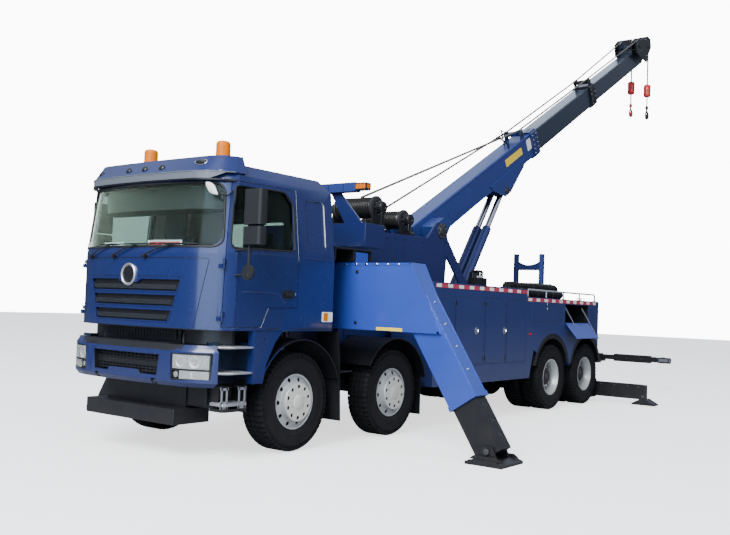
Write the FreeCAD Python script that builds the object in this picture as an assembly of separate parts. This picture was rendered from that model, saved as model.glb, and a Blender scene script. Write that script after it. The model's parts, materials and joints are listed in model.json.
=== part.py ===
import FreeCAD, Part
import math
import os

# Heavy 8x4 tow truck: two steered axles, twin-tyred tandem, telescopic boom on a fixed pedestal,
# deployed outriggers and a rear underlift. Millimetres. +X forward, +Y left, +Z up.
# While it is drawn, X is counted from the first axle; finish() shifts every piece so that the
# origin is under the middle of the whole truck, on the ground.

V = FreeCAD.Vector
X_AXIS, Y_AXIS, Z_AXIS = V(1, 0, 0), V(0, 1, 0), V(0, 0, 1)
SIDES = {"left": 1, "right": -1}

# ---------------------------------------------------------------- driving dimensions
AXLES = [0, -1800, -6310, -7710]      # axle stations from the first axle
WHEEL_Z = 535                         # loaded radius: height of every wheel centre
TYRE_R = 535
TYRE_W = 300
RIM_R = 286
FRONT_TYRE_Y = 1020                   # tyre centre lines
TWIN_Y = [745, 1090]
KINGPIN_Y = 850
FIT = 0.05                            # running clearance of pins and shafts

RAIL_Y = 430                          # outside of the chassis rails
RAIL_Z0, RAIL_Z1 = 750, 1050
FRAME_FRONT, FRAME_REAR = 1120, -8380

HALF_WIDTH = 1245
CAB_FRONT, CAB_REAR = 1370, -480
CAB_FLOOR, CAB_TOP = 1300, 2985
CAB_WALL = 55
DOOR_GAP = 6

DECK_FRONT_Z, DECK_REAR_Z = 1955, 1835
DECK_STEP_X = -5320
BODY_FRONT, BODY_REAR = -2600, -8250
BODY_BOTTOM = 560
ARCH_R = 720                          # arches over the tandem

# boom: pivot, resting elevation, and per section (half width, half depth, wall, start, end)
BOOM_PIVOT = (-4000, 2770)
BOOM_ELEVATION = 29
BOOM_LOW, BOOM_HIGH = -26.5, 19       # travel from the resting elevation, degrees
BOOM_SECTIONS = {
    "boom_base": (176, 222, 12, -330, 4230),
    "boom_middle": (158, 204, 10, 2950, 7350),
    "boom_tip": (142, 188, 10, 5800, 10550),
}
COLLAR = 34                           # how far a section's end collar stands out
COLLAR_CHAMFER = 48
ROLLER_EARS = ((-165, -150), (150, 165))   # the plates that carry a rope roller, across the boom
MIDDLE_RETRACT, TIP_RETRACT = 2830, 2630
SHEAVE_S, SHEAVE_O, SHEAVE_R = 10838, 143, 190   # head sheave, along and above the boom axis
GUIDE_S, GUIDE_O, GUIDE_R = 10230, 300, 150
HOOK_Y = 200

CYL_Y = 92
CYL_FOOT = (-4900, 1445)
CYL_EYE_S, CYL_EYE_O = 2680, -395     # rod eye, along and below the boom axis
CYL_R, ROD_R, EYE_R, EYE_HALF = 78, 50, 60, 70
BARREL_LENGTH, ROD_LENGTH = 1930, 1800
BARREL_RATIO, ROD_RATIO = 0.845, 26.3 # degrees and millimetres per degree of boom lift

# front outriggers: each side has its own lane across the truck
LANES = {"left": (-910, -1210), "right": (-590, -890)}
LEG_DROP = 57.3                       # leg angle below the horizontal
LEG_PULL_IN, BEAM_PULL_IN = 430, 1300
RAIL_BOX_Z = (2110, 2240)

REAR_LEG_X = (-8420, -8690)
REAR_LEG_PULL_IN = 740
UNDERLIFT_PIVOT = (-8520, 640)
CROSSBAR_X = -11550
UNDERLIFT_PULL_IN = 1000
FORK_HOLE_R, FORK_HOLE_Y = 26, 1200

pieces = {}


# ---------------------------------------------------------------- helpers
def rad(degrees):
    return math.radians(degrees)


def box(x0, x1, y0, y1, z0, z1):
    low = V(min(x0, x1), min(y0, y1), min(z0, z1))
    return Part.makeBox(abs(x1 - x0), abs(y1 - y0), abs(z1 - z0), low)


def rod(radius, start, end):
    start, end = V(*start), V(*end)
    return Part.makeCylinder(radius, (end - start).Length, start, end - start)


def ring(outer, inner, start, end):
    return rod(outer, start, end).cut(rod(inner, start, end))


def rounded(points, radius):
    """Face through the points in order, each corner rounded."""
    ends = []
    for i, p in enumerate(points):
        to_last = (points[i - 1] - p).normalize()
        to_next = (points[(i + 1) % len(points)] - p).normalize()
        half = to_last.getAngle(to_next) / 2
        middle = p + (to_last + to_next).normalize() * (radius / math.sin(half) - radius)
        reach = radius / math.tan(half)
        ends.append((p + to_last * reach, middle, p + to_next * reach))
    edges = []
    for i, (start, middle, stop) in enumerate(ends):
        edges.append(Part.Arc(start, middle, stop).toShape())
        edges.append(Part.makeLine(stop, ends[(i + 1) % len(ends)][0]))
    return Part.Face(Part.Wire(edges))


def face(points, radius=0):
    if radius:
        return rounded(points, radius)
    return Part.Face(Part.makePolygon(points + points[:1]))


def inset(points, gap):
    """The outline with every side brought in by gap."""
    count = len(points)
    crosses = [points[i - 1][0] * points[i][1] - points[i][0] * points[i - 1][1] for i in range(count)]
    doubled_area = sum(crosses)
    turn = math.copysign(gap, doubled_area)
    lines = []
    for i in range(count):
        (x0, y0), (x1, y1) = points[i - 1], points[i]
        length = math.hypot(x1 - x0, y1 - y0)
        nx, ny = -(y1 - y0) / length, (x1 - x0) / length
        lines.append((nx, ny, nx * x0 + ny * y0 + turn))
    corners = []
    for i in range(count):
        (a, b, c), (d, e, f) = lines[i], lines[(i + 1) % count]
        det = a * e - b * d
        corners.append(((c * e - b * f) / det, (a * f - c * d) / det))
    return corners


def side_plate(points, y0, y1, radius=0):
    """A plate whose outline is given as (x, z) and which runs from y0 to y1."""
    return face([V(x, y0, z) for x, z in points], radius).extrude(V(0, y1 - y0, 0))


def front_plate(points, x0, x1, radius=0):
    """A plate whose outline is given as (y, z) and which runs from x0 to x1."""
    return face([V(x0, y, z) for y, z in points], radius).extrude(V(x1 - x0, 0, 0))


def floor_plate(points, z0, z1, radius=0):
    """A plate whose outline is given as (x, y) and which runs from z0 to z1."""
    return face([V(x, y, z0) for x, y in points], radius).extrude(V(0, 0, z1 - z0))


def turned(profile, axis_x, axis_z):
    """Revolve a (y, radius) outline about the lateral axis through (axis_x, axis_z)."""
    outline = [V(axis_x, y, axis_z + r) for y, r in profile]
    face = Part.Face(Part.makePolygon(outline + outline[:1]))
    return face.revolve(V(axis_x, 0, axis_z), Y_AXIS, 360)


def bead(radius, thick, centre, axis, sweep=360):
    """A ring of six-sided section: radius to the middle of the section, which is thick across."""
    half = thick / 2
    section = [V(radius + half * math.cos(rad(a)), 0, half * math.sin(rad(a))) for a in range(0, 360, 60)]
    ring_solid = face(section).revolve(V(0, 0, 0), Z_AXIS, sweep)
    ring_solid.Placement = FreeCAD.Placement(V(*centre), FreeCAD.Rotation(Z_AXIS, axis))
    return ring_solid


def mirrored(shape):
    return shape.mirror(V(0, 0, 0), Y_AXIS)


def fused(shapes):
    whole = shapes[0].fuse(shapes[1:]) if len(shapes) > 1 else shapes[0]
    return whole.removeSplitter()


def add(name, *shapes):
    pieces[name] = Part.makeCompound(list(shapes)) if len(shapes) > 1 else shapes[0]


def boom_point(s, o, y=0):
    """A point s along the boom from its pivot and o above its axis."""
    c, n = math.cos(rad(BOOM_ELEVATION)), math.sin(rad(BOOM_ELEVATION))
    return V(BOOM_PIVOT[0] - s * c + o * n, y, BOOM_PIVOT[1] + s * n + o * c)


def boom_plate(points, y0, y1):
    outline = [boom_point(s, o, y0) for s, o in points]
    face = Part.Face(Part.makePolygon(outline + outline[:1]))
    return face.extrude(V(0, y1 - y0, 0))


def boom_rod(radius, s, o, y0, y1):
    return Part.makeCylinder(radius, y1 - y0, boom_point(s, o, y0), Y_AXIS)


# ---------------------------------------------------------------- wheels
def tyre(x, y, z=WHEEL_Z):
    w, shoulder = TYRE_W / 2, 40
    profile = [(-w + 30, RIM_R), (-w, RIM_R + 60), (-w - 0, TYRE_R - 90), (-w + 12, TYRE_R - shoulder),
               (-w + shoulder, TYRE_R - 6), (0, TYRE_R), (w - shoulder, TYRE_R - 6),
               (w - 12, TYRE_R - shoulder), (w, TYRE_R - 90), (w, RIM_R + 60), (w - 30, RIM_R)]
    return turned([(y + a, r) for a, r in profile], x, z)


def rim(x, y, out, disc_at, hub_from, hub_to, bore, hub_r, capped=True):
    """Rim barrel with a disc. out is +1 or -1, towards the outside of the truck."""
    edge = TYRE_W / 2 - 14
    barrel = [(-edge, RIM_R), (-edge, RIM_R - 14), (0, RIM_R - 44), (edge, RIM_R - 14), (edge, RIM_R),
              (edge - 30, RIM_R), (0, RIM_R - 30), (-edge + 30, RIM_R)]
    shell = turned([(y + out * a, r) for a, r in barrel], x, WHEEL_Z)
    disc = [(disc_at - 8, RIM_R - 36), (disc_at + 4, RIM_R - 34), (hub_to - 6, 175), (hub_to - 6, bore),
            (hub_to - 20, bore), (hub_to - 20, 165)]
    plate = turned([(y + out * a, r) for a, r in disc], x, WHEEL_Z)
    outline = [(hub_from, bore), (hub_from, hub_r), (hub_to + 40, hub_r)]
    if capped:
        outline += [(hub_to + 70, hub_r - 25), (hub_to + 70, 0), (hub_to + 50, 0), (hub_to + 50, bore)]
    else:
        outline += [(hub_to + 40, bore)]
    hub = turned([(y + out * a, r) for a, r in outline], x, WHEEL_Z)
    return fused([shell, plate, hub])


SPINDLE_R = 45
for number, x in enumerate(AXLES, 1):
    for side, s in SIDES.items():
        if number <= 2:
            add(f"tyre_{number}_{side}", tyre(x, s * FRONT_TYRE_Y))
            add(f"rim_{number}_{side}", rim(x, s * FRONT_TYRE_Y, s, 60, -30, 110, SPINDLE_R + FIT, 110))
        else:
            add(f"tyre_{number}_{side}", *[tyre(x, s * y) for y in TWIN_Y])
            outer = rim(x, s * TWIN_Y[1], s, -60, -120, 20, SPINDLE_R + FIT, 120)
            inner = rim(x, s * TWIN_Y[0], s, 60, -60, 110, SPINDLE_R + FIT, 120, capped=False)
            near, far = s * (TWIN_Y[0] + 100), s * (TWIN_Y[1] - 60)
            sleeve = [(near, SPINDLE_R + FIT), (near, 170), (far, 170), (far, SPINDLE_R + FIT)]
            spacer = turned(sleeve, x, WHEEL_Z)
            add(f"rim_{number}_{side}", fused([inner, spacer, outer]))

# ---------------------------------------------------------------- axles and steering knuckles
axle_solids = []
BOSS_H = 60
for x in AXLES[:2]:
    beam = side_plate([(x - 55, WHEEL_Z - 45), (x + 55, WHEEL_Z - 45), (x + 55, WHEEL_Z + 35),
                       (x - 55, WHEEL_Z + 35)], -KINGPIN_Y, KINGPIN_Y)
    parts = [beam]
    for s in SIDES.values():
        parts.append(rod(58, (x, s * KINGPIN_Y, WHEEL_Z - BOSS_H), (x, s * KINGPIN_Y, WHEEL_Z + BOSS_H)))
        parts.append(box(x - 60, x + 60, s * 380, s * 470, WHEEL_Z - 20, RAIL_Z0 - 115))
    whole = fused(parts)
    for s in SIDES.values():
        whole = whole.cut(rod(25 + FIT, (x, s * KINGPIN_Y, 300), (x, s * KINGPIN_Y, 800)))
    axle_solids.append(whole)
for x in AXLES[2:]:
    tube = rod(85, (x, -600, WHEEL_Z), (x, 600, WHEEL_Z))
    bowl_outline = [(-200, 0), (-190, 120), (-120, 205), (0, 235), (120, 205), (190, 120), (200, 0)]
    bowl = turned(bowl_outline, x, WHEEL_Z)
    nose = rod(120, (x + 150, 0, WHEEL_Z + 30), (x + 330, 0, WHEEL_Z + 60))
    parts = [tube, bowl, nose, rod(SPINDLE_R, (x, -1110, WHEEL_Z), (x, 1110, WHEEL_Z))]
    for s in SIDES.values():
        parts.append(box(x - 70, x + 70, s * 380, s * 470, WHEEL_Z, RAIL_Z0 - 115))
    axle_solids.append(fused(parts))
add("axles", *axle_solids)

for number, x in enumerate(AXLES[:2], 1):
    for side, s in SIDES.items():
        y = s * KINGPIN_Y
        pin = rod(25, (x, y, WHEEL_Z - 105), (x, y, WHEEL_Z + 105))
        fork = [box(x - 50, x + 50, y - 55, y + 55, WHEEL_Z + BOSS_H + 2, WHEEL_Z + BOSS_H + 40),
                box(x - 50, x + 50, y - 55, y + 55, WHEEL_Z - BOSS_H - 40, WHEEL_Z - BOSS_H - 2)]
        back = box(x - 55, x + 55, s * (KINGPIN_Y + 62), s * (KINGPIN_Y + 90), WHEEL_Z - 100, WHEEL_Z + 100)
        links = [box(x - 50, x + 50, s * (KINGPIN_Y + 50), s * (KINGPIN_Y + 70), WHEEL_Z + BOSS_H + 2,
                     WHEEL_Z + BOSS_H + 40),
                 box(x - 50, x + 50, s * (KINGPIN_Y + 50), s * (KINGPIN_Y + 70), WHEEL_Z - BOSS_H - 40,
                     WHEEL_Z - BOSS_H - 2)]
        shield = rod(205, (x, s * (KINGPIN_Y + 88), WHEEL_Z), (x, s * (KINGPIN_Y + 128), WHEEL_Z))
        spindle = rod(SPINDLE_R, (x, s * (KINGPIN_Y + 80), WHEEL_Z), (x, s * 1150, WHEEL_Z))
        add(f"knuckle_{number}_{side}", fused([pin, back, shield, spindle] + fork + links))

# ---------------------------------------------------------------- chassis
FLANGE, WEB = 80, 10
rails = []
for s in SIDES.values():
    rails.append(box(FRAME_REAR, FRAME_FRONT, s * (RAIL_Y - WEB), s * RAIL_Y, RAIL_Z0, RAIL_Z1))
    for z in (RAIL_Z0, RAIL_Z1 - WEB):
        rails.append(box(FRAME_REAR, FRAME_FRONT, s * (RAIL_Y - FLANGE), s * RAIL_Y, z, z + WEB))
CROSS_MEMBERS = [1090, -500, -2400, -3700, -5000, -7010, -8350]
for x in CROSS_MEMBERS:
    rails.append(box(x - 30, x + 30, -RAIL_Y + 5, RAIL_Y - 5, RAIL_Z0 + 60, RAIL_Z1 - 60))
for x in AXLES:
    reach = 760 if x in AXLES[:2] else 640
    arc = [(x - reach, RAIL_Z0 + 5), (x - reach, RAIL_Z0 - 40), (x - 380, RAIL_Z0 - 95), (x, RAIL_Z0 - 115),
           (x + 380, RAIL_Z0 - 95), (x + reach, RAIL_Z0 - 40), (x + reach, RAIL_Z0 + 5),
           (x + reach - 60, RAIL_Z0 + 5), (x + 380, RAIL_Z0 - 45), (x, RAIL_Z0 - 60), (x - 380, RAIL_Z0 - 45),
           (x - reach + 60, RAIL_Z0 + 5)]
    for s in SIDES.values():
        rails.append(side_plate(arc, s * 385, s * 465))
frame = fused(rails)
add("chassis_frame", frame)
add("engine", box(-350, 950, -330, 330, 800, 1270))

# ---------------------------------------------------------------- cab
# plan of a bowed nose: end of the straight side, the corner's three points, x of the middle
CAB_PLAN = ((300, 1245), [(1000, 1200), (1195, 985), (1305, 660)], 1370)
BUMPER_PLAN = ((1000, 1238), [(1050, 1235), (1255, 1005), (1345, 720)], 1390)
VISOR_PLAN = ((880, 1150), [(985, 1132), (1150, 992), (1252, 805)], 1300)
FAIRING_PLAN = ((850, 1075), [(900, 1066), (1045, 960), (1095, 800)], 1112)
BELT_Z, GUTTER_Z = 2060, 2860         # where the cab starts to lean in, and its roof edge
LEAN_IN, ROOF_IN = 92, 185


def nose_wire(plan, grow, z, rear):
    """Plan outline at height z, grown outwards by grow and closed off at rear."""
    (side_x, side_y), corner, front = plan
    points = [V(x, y, 0) for x, y in corner]
    centre = Part.Circle(*points).Center
    points = [p + (p - centre).normalize() * grow for p in points]
    left = [V(rear, side_y + grow, 0), V(side_x, side_y + grow, 0)] + points
    right = [V(p.x, -p.y, 0) for p in left]
    edges = [Part.makeLine(left[0], left[1]), Part.makeLine(left[1], left[2]), Part.Arc(*left[2:]).toShape(),
             Part.Arc(left[4], V(front + grow, 0, 0), right[4]).toShape(),
             Part.Arc(right[4], right[3], right[2]).toShape(), Part.makeLine(right[2], right[1]),
             Part.makeLine(right[1], right[0]), Part.makeLine(right[0], left[0])]
    wire = Part.Wire(edges)
    wire.translate(V(0, 0, z))
    return wire


def nose_loft(*levels):
    """Solid through plan outlines given as (plan, grow, z, rear), one level after another."""
    steps = zip(levels, levels[1:])
    return fused([Part.makeLoft([nose_wire(*a), nose_wire(*b)], True, True) for a, b in steps])


def nose_block(plan, grow, z0, z1, rear=CAB_REAR):
    return Part.Face(nose_wire(plan, grow, z0, rear)).extrude(V(0, 0, z1 - z0))


def nose_skin(plan, outside, inside, z0, z1):
    """The layer between two offsets of a plan, without its back."""
    return nose_block(plan, outside, z0, z1, 0).cut(nose_block(plan, inside, z0, z1, -10))


def cab_block(step_in):
    rear, top = CAB_REAR + step_in, CAB_TOP - step_in
    block = nose_loft((CAB_PLAN, -step_in, CAB_FLOOR + step_in, rear), (CAB_PLAN, -step_in, BELT_Z, rear),
                      (CAB_PLAN, -LEAN_IN - step_in, GUTTER_Z - step_in / 2, rear),
                      (CAB_PLAN, -ROOF_IN - step_in, top, rear))
    bevel = [(rear - 1, GUTTER_Z - 20 - step_in), (rear + 130, top + 1), (rear - 1, top + 1)]
    return block.cut(side_plate(bevel, -HALF_WIDTH, HALF_WIDTH))


DOOR = [(1100, 1330), (645, 1330), (550, 1532), (125, 1545), (125, 2808), (1005, 2808), (1085, 2090)]
DOOR_WINDOW = [(1040, 2125), (185, 2150), (185, 2640), (300, 2762), (975, 2762)]
WINDSCREEN = [(-1090, 2130), (1090, 2130), (1035, 2770), (-1035, 2770)]
REAR_WINDOW = [(-500, 2150), (500, 2150), (500, 2550), (-500, 2550)]
SLEEPER_PANEL = [(-10, 2180), (-340, 2180), (-340, 2730), (-10, 2730)]
WINDOW_ROUND, SCREEN_ROUND = 55, 110
GLASS_OUT, GLASS_IN, GLASS_GAP = 18, 26, 1

cab_outer = cab_block(0)
shell = cab_outer.cut(cab_block(CAB_WALL))
skin = cab_outer.cut(cab_block(12))
glass_skin = cab_block(GLASS_OUT).cut(cab_block(GLASS_IN))
doors = {}
sill = nose_block(CAB_PLAN, -CAB_WALL, CAB_FLOOR - 10, CAB_FLOOR + CAB_WALL)
for side, s in SIDES.items():
    y0, y1 = s * 850, s * 1300
    panel = shell.common(side_plate(inset(DOOR, DOOR_GAP), y0, y1)).cut(sill)
    doors[side] = panel.cut(side_plate(DOOR_WINDOW, y0, y1, WINDOW_ROUND))
    glass = glass_skin.common(side_plate(inset(DOOR_WINDOW, GLASS_GAP), y0, y1, WINDOW_ROUND))
    add(f"door_glass_{side}", glass)
    shell = shell.cut(side_plate(DOOR, y0, y1).cut(sill))
    shell = shell.cut(skin.common(side_plate(SLEEPER_PANEL, y0, y1, WINDOW_ROUND)))
shell = shell.cut(front_plate(WINDSCREEN, 950, 1500, SCREEN_ROUND))
shell = shell.cut(front_plate(REAR_WINDOW, CAB_REAR - 10, CAB_REAR + 100, WINDOW_ROUND))
screen = glass_skin.common(front_plate(inset(WINDSCREEN, GLASS_GAP), 950, 1500, SCREEN_ROUND))
rear_glass = front_plate(inset(REAR_WINDOW, GLASS_GAP), CAB_REAR + 20, CAB_REAR + 27, WINDOW_ROUND)
add("cab_glass", screen, rear_glass)

# three grille slots: recesses in the nose, each with a dark back and a slat across it
SLOTS = [(1366, 1478, 582, 622), (1518, 1632, 630, 672), (1670, 1790, 682, 722)]
SLOT_DEPTH = 30
grille = []
for z0, z1, low, high in SLOTS:
    outline = [(-low, z0), (low, z0), (high, z1)]
    if z1 == SLOTS[-1][1]:
        outline += [(190, z1), (120, z1 - 40), (-120, z1 - 40), (-190, z1)]
    outline.append((-high, z1))
    recess = nose_skin(CAB_PLAN, 5, -SLOT_DEPTH, z0 - 10, z1 + 10)
    shell = shell.cut(recess.common(front_plate(outline, 1150, 1500)))
    zone = front_plate(inset(outline, 2), 1150, 1500)
    back = nose_skin(CAB_PLAN, 7 - SLOT_DEPTH, 1 - SLOT_DEPTH, z0, z1)
    slat = nose_skin(CAB_PLAN, -6, 4 - SLOT_DEPTH, z0 + 24, z0 + 68)
    grille.append(fused([back.common(zone), slat.common(zone)]))
add("grille", *grille)

# door hinges: knuckles on the door between knuckles on the cab
HINGE_X, HINGE_Y, HINGE_R = 1106, 1131, 12
HINGE_Z = (1440, 1960)
HINGE_TALL = 44


def knuckle(s, z, front):
    """Hinge knuckle with its leaf, on the cab's corner or on the door's edge."""
    leaf = box(HINGE_X + front * 10, HINGE_X + front * 34, s * 1030, s * (HINGE_Y + 5), z, z + HINGE_TALL)
    leaf = leaf.cut(cab_outer).cut(box(1000, 1250, s * 1000, s * 1085, z - 1, z + HINGE_TALL + 1))
    return [leaf, rod(HINGE_R, (HINGE_X, s * HINGE_Y, z), (HINGE_X, s * HINGE_Y, z + HINGE_TALL))]


SWEEP_R = 112                         # the door's front edge turns inside this, over the sill
for s in SIDES.values():
    sweep = rod(SWEEP_R, (HINGE_X, s * HINGE_Y, CAB_FLOOR + 30), (HINGE_X, s * HINGE_Y, 1356))
    shell = shell.cut(sweep.common(sill))
    for z in HINGE_Z:
        shell = shell.cut(box(HINGE_X - 26, HINGE_X - 3, s * 1070, s * 1140, z - 2, z + HINGE_TALL + 2))
        shell = fused([shell] + knuckle(s, z - HINGE_TALL - 3, 1))
add("cab_shell", shell)

# mirrors: the left pair stands out, the right pair is folded back along its door
# post x and y, then the heads' x and y spans
MIRRORS = {"left": (1040, 1400, (978, 1090), (1345, 1575)), "right": (880, 1325, (640, 850), (1288, 1354))}
MIRROR_ARMS = (1850, 2100)            # both below the window sill
MIRROR_HEADS = ((2345, 2690), (2150, 2325))
for side, s in SIDES.items():
    post_x, post_y, head_x, head_y = MIRRORS[side]
    handle = box(215, 330, s * (HALF_WIDTH - 6), s * (HALF_WIDTH + 28), 1665, 1700)
    parts = [doors[side], handle]
    for z in HINGE_Z:
        parts += knuckle(s, z, -1)
    for z in MIRROR_ARMS:
        parts.append(rod(13, (1000, s * 1165, z), (post_x, s * post_y, z)))
    parts.append(rod(13, (post_x, s * post_y, 1840), (post_x, s * post_y, 2700)))
    outline = [(head_x[0], s * head_y[0]), (head_x[1], s * head_y[0]), (head_x[1], s * head_y[1]),
               (head_x[0], s * head_y[1])]
    for z0, z1 in MIRROR_HEADS:
        parts.append(floor_plate(outline, z0, z1, 30))
        reach = box(head_x[1] - 40, post_x, s * (post_y - 9), s * (post_y + 9), z1 - 90, z1 - 70)
        parts.append(reach)
    parts.append(rod(75, (post_x - 12, s * post_y, 1880), (post_x + 12, s * post_y, 1880)))
    add(f"door_{side}", fused(parts))

# inside the cab
seat_solids = []
for s in (1, -1):
    y = s * 620
    cushion = side_plate([(60, 1600), (560, 1610), (560, 1740), (500, 1760), (60, 1720)], y - 240, y + 240)
    back = side_plate([(40, 1690), (180, 1690), (110, 2360), (20, 2360)], y - 240, y + 240)
    plinth = box(150, 450, y - 150, y + 150, CAB_FLOOR + CAB_WALL + 1, 1620)
    seat_solids.append(fused([cushion, back, plinth]))
bunk = box(CAB_REAR + 60, -10, -1100, 1100, CAB_FLOOR + CAB_WALL + 1, 1800)
dash_side = [(1290, 1500), (1290, 2040), (1180, 2060), (980, 1990), (960, 1750), (1050, 1500)]
dash = side_plate(dash_side, -1022, 1022)
dash = dash.common(nose_block(CAB_PLAN, -CAB_WALL - 2, 1400, 2100))
wheel_ring = bead(230, 34, (0, 0, 0), Z_AXIS)
wheel_hub = Part.makeCylinder(30, 60, V(0, 0, -50))
steering = fused([wheel_ring, wheel_hub, box(-220, 220, -16, 16, -8, 8)])
steering.rotate(V(0, 0, 0), Y_AXIS, -35)
steering.translate(V(760, 620, 2000))
column = rod(28, (772, 620, 1985), (1010, 620, 1800))
add("cab_interior", *seat_solids, bunk, fused([dash, column, steering]))

# sun visor with the roof fairing above it
VISOR_Z = (2805, 2882, 3062)
fairing = nose_loft((VISOR_PLAN, 0, VISOR_Z[0], 560), (VISOR_PLAN, 0, VISOR_Z[1], 560),
                    (FAIRING_PLAN, 0, VISOR_Z[2], 580))
under = nose_block(VISOR_PLAN, -40, VISOR_Z[0] - 5, VISOR_Z[1] - 12, 500)
for s in SIDES.values():
    fairing = fairing.cut(box(500, 855, s * 790, s * 1300, 2700, 3200))
open_end = [(500, 2700), (1195, 2700), (1195, 2805), (1060, VISOR_Z[1] + 3), (500, VISOR_Z[1] + 3)]
fairing = fairing.cut(under).cut(side_plate(open_end, -1300, 1300)).cut(cab_outer)
add("visor", fairing)

BEACON_X, BEACON_Y = 682, 595
BEACON_TOP = 3290
lamps = []
for s in SIDES.values():
    y = s * BEACON_Y
    lamps.append(fused([rod(88, (BEACON_X, y, VISOR_Z[2]), (BEACON_X, y, 3120)),
                        rod(80, (BEACON_X, y, 3120), (BEACON_X, y, BEACON_TOP))]))

# bumper: chamfered shell with a cooling opening, lamp bays and tow-pin holes
bumper = nose_loft((BUMPER_PLAN, -34, 735, 0), (BUMPER_PLAN, 0, 778, 0), (BUMPER_PLAN, 0, 1085, 0),
                   (BUMPER_PLAN, -40, 1145, 0))
bumper = bumper.cut(nose_block(BUMPER_PLAN, -75, 700, 1100, -10)).cut(box(-20, 1145, -1300, 1300, 700, 1200))
OPENING = [(-500, 828), (-262, 828), (-235, 868), (235, 868),
           (262, 828), (500, 828), (530, 1035), (-530, 1035)]
bumper = bumper.cut(front_plate(OPENING, 1200, 1500))
LAMP_BAY = [(692, 795), (1100, 815), (1112, 1075), (684, 1060)]
for s in SIDES.values():
    bay = [(s * y, z) for y, z in LAMP_BAY]
    bumper = bumper.cut(front_plate(bay, 1000, 1500, 18))
    lamp = nose_skin(BUMPER_PLAN, -10, -45, 780, 1080)
    lamps.append(lamp.common(front_plate(inset(bay, 3), 1000, 1500, 18)))
    bumper = bumper.cut(box(1250, 1500, s * 428, s * 492, 738, 796))
    bumper = bumper.fuse(box(FRAME_FRONT + 2, 1340, s * 300, s * 360, 870, 950).cut(
        nose_skin(BUMPER_PLAN, 100, -76, 800, 1000)))
mesh_bar = nose_skin(BUMPER_PLAN, -52, -74, 860, 1000).common(box(1200, 1400, -540, 540, 905, 960))
bumper = bumper.fuse(mesh_bar).removeSplitter()
add("bumper", bumper)
add("lamps", *lamps)

brackets = [box(1000, 1080, s * 300, s * 360, 420, 745) for s in SIDES.values()]
add("ballast", fused([box(820, 1300, -710, 710, 340, 500)] + brackets))

# mudguards: blue wedge before the first wheel, liners, arch lips over the tandem
LINER_R, LIP_R = 665, 640
LINER_REAR = {1: -700, -1: -575}      # the right liner stops short of the right outrigger's lane
WEDGE = [(745, 768), (600, 768), (560, 960), (440, 1180), (330, 1296), (745, 1296)]
guards = []
for s in SIDES.values():
    wedge = side_plate(WEDGE, s * 1150, s * 1240)
    liner = ring(LINER_R + 12, LINER_R, (0, s * 600, WHEEL_Z), (0, s * 1240, WHEEL_Z))
    guards.append(fused([wedge, liner.common(box(LINER_REAR[s], 700, s * 590, s * 1250, 760, 1300))]))
    band = ring(LINER_R + 12, LINER_R, (AXLES[1], s * 600, WHEEL_Z), (AXLES[1], s * 1240, WHEEL_Z))
    band = band.common(box(-2600, -1235, s * 590, s * 1250, 700, 1300))
    guards.append(fused([band, box(-1830, -1770, s * 451, s * 620, 1201, 1212)]))
    arches = []
    for x in AXLES[2:]:
        arches.append(ring(LIP_R + 10, LIP_R, (x, s * 600, WHEEL_Z), (x, s * 1240, WHEEL_Z)))
        arches.append(ring(ARCH_R - 4, LIP_R, (x, s * 1185, WHEEL_Z), (x, s * 1240, WHEEL_Z)))
    gap = box(AXLES[2] + 700, AXLES[3] - 690, s * 590, s * 1250, 745, 1300)
    guards.append(fused(arches).common(gap))
add("mudguards", *guards)

# entry steps: three treads on a side frame, shaped to follow the bumper's corner
steps = []
for s in SIDES.values():
    frame_side = [box(700, 1138, s * 940, s * 962, 560, 1180), box(1116, 1138, s * 940, s * 1225, 560, 1180)]
    treads = [box(752, 1138, s * 945, s * 1225, z, z + 24) for z in (1118, 868, 560)]
    hangers = [box(x, x + 30, s * 1195, s * 1222, 500, 870) for x in (800, 1080)]
    low_step = box(790, 1120, s * 1010, s * 1222, 500, 530)
    stay = box(1000, 1060, s * RAIL_Y, s * 945, 850, 910)
    tower = fused(frame_side + treads + hangers + [low_step, stay])
    tower = tower.common(nose_block(BUMPER_PLAN, -12, 400, 1300))
    lamp_room = nose_skin(BUMPER_PLAN, 10, -56, 770, 1092).common(box(900, 1400, 0, s * 1126, 700, 1100))
    steps.append(tower.cut(lamp_room))
add("cab_steps", *steps)

# ---------------------------------------------------------------- wrecker pedestal and outrigger rail
PED_Y0, PED_Y1 = 415, 450
pedestal = []
for s in SIDES.values():
    pedestal.append(side_plate([(-1600, RAIL_Z1), (-4250, RAIL_Z1), (-4120, 1900), (-4180, 2640),
                                (-4130, 2880), (-3870, 2890), (-3620, 2640), (-1500, 2590), (-1500, 2110)],
                               s * PED_Y0, s * PED_Y1))
    brace = [(-4000, 2560), (-4180, 2660), (-4850, DECK_FRONT_Z), (-4620, DECK_FRONT_Z)]
    pedestal.append(side_plate(brace, s * PED_Y0, s * PED_Y1))
pedestal.append(box(-1300, -1700, -1040, 1040, 2320, 2610))
pedestal.append(box(-1700, -3540, -PED_Y1, PED_Y1, 2560, 2600))
pedestal.append(box(-1600, -1640, -PED_Y1, PED_Y1, RAIL_Z1, 2560))
for x in (-560, -1240):
    pedestal.append(box(x, x + 25, -1200, 1200, *RAIL_BOX_Z))
pedestal.append(box(-535, -1240, -1200, 1200, RAIL_BOX_Z[1], RAIL_BOX_Z[1] + 20))
pedestal.append(box(-885, -915, -1200, 1200, *RAIL_BOX_Z))
pedestal.append(box(-1230, -1620, -PED_Y1, PED_Y1, RAIL_BOX_Z[0], 2330))
for x in (-535, -1260):
    for s in SIDES.values():
        pedestal.append(box(x, x - 25, s * 350, s * 430, RAIL_Z1, RAIL_BOX_Z[0] + 10))
pin_hole = rod(60 + FIT, (BOOM_PIVOT[0], -500, BOOM_PIVOT[1]), (BOOM_PIVOT[0], 500, BOOM_PIVOT[1]))
pedestal_frame = fused(pedestal).cut(pin_hole)

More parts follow.
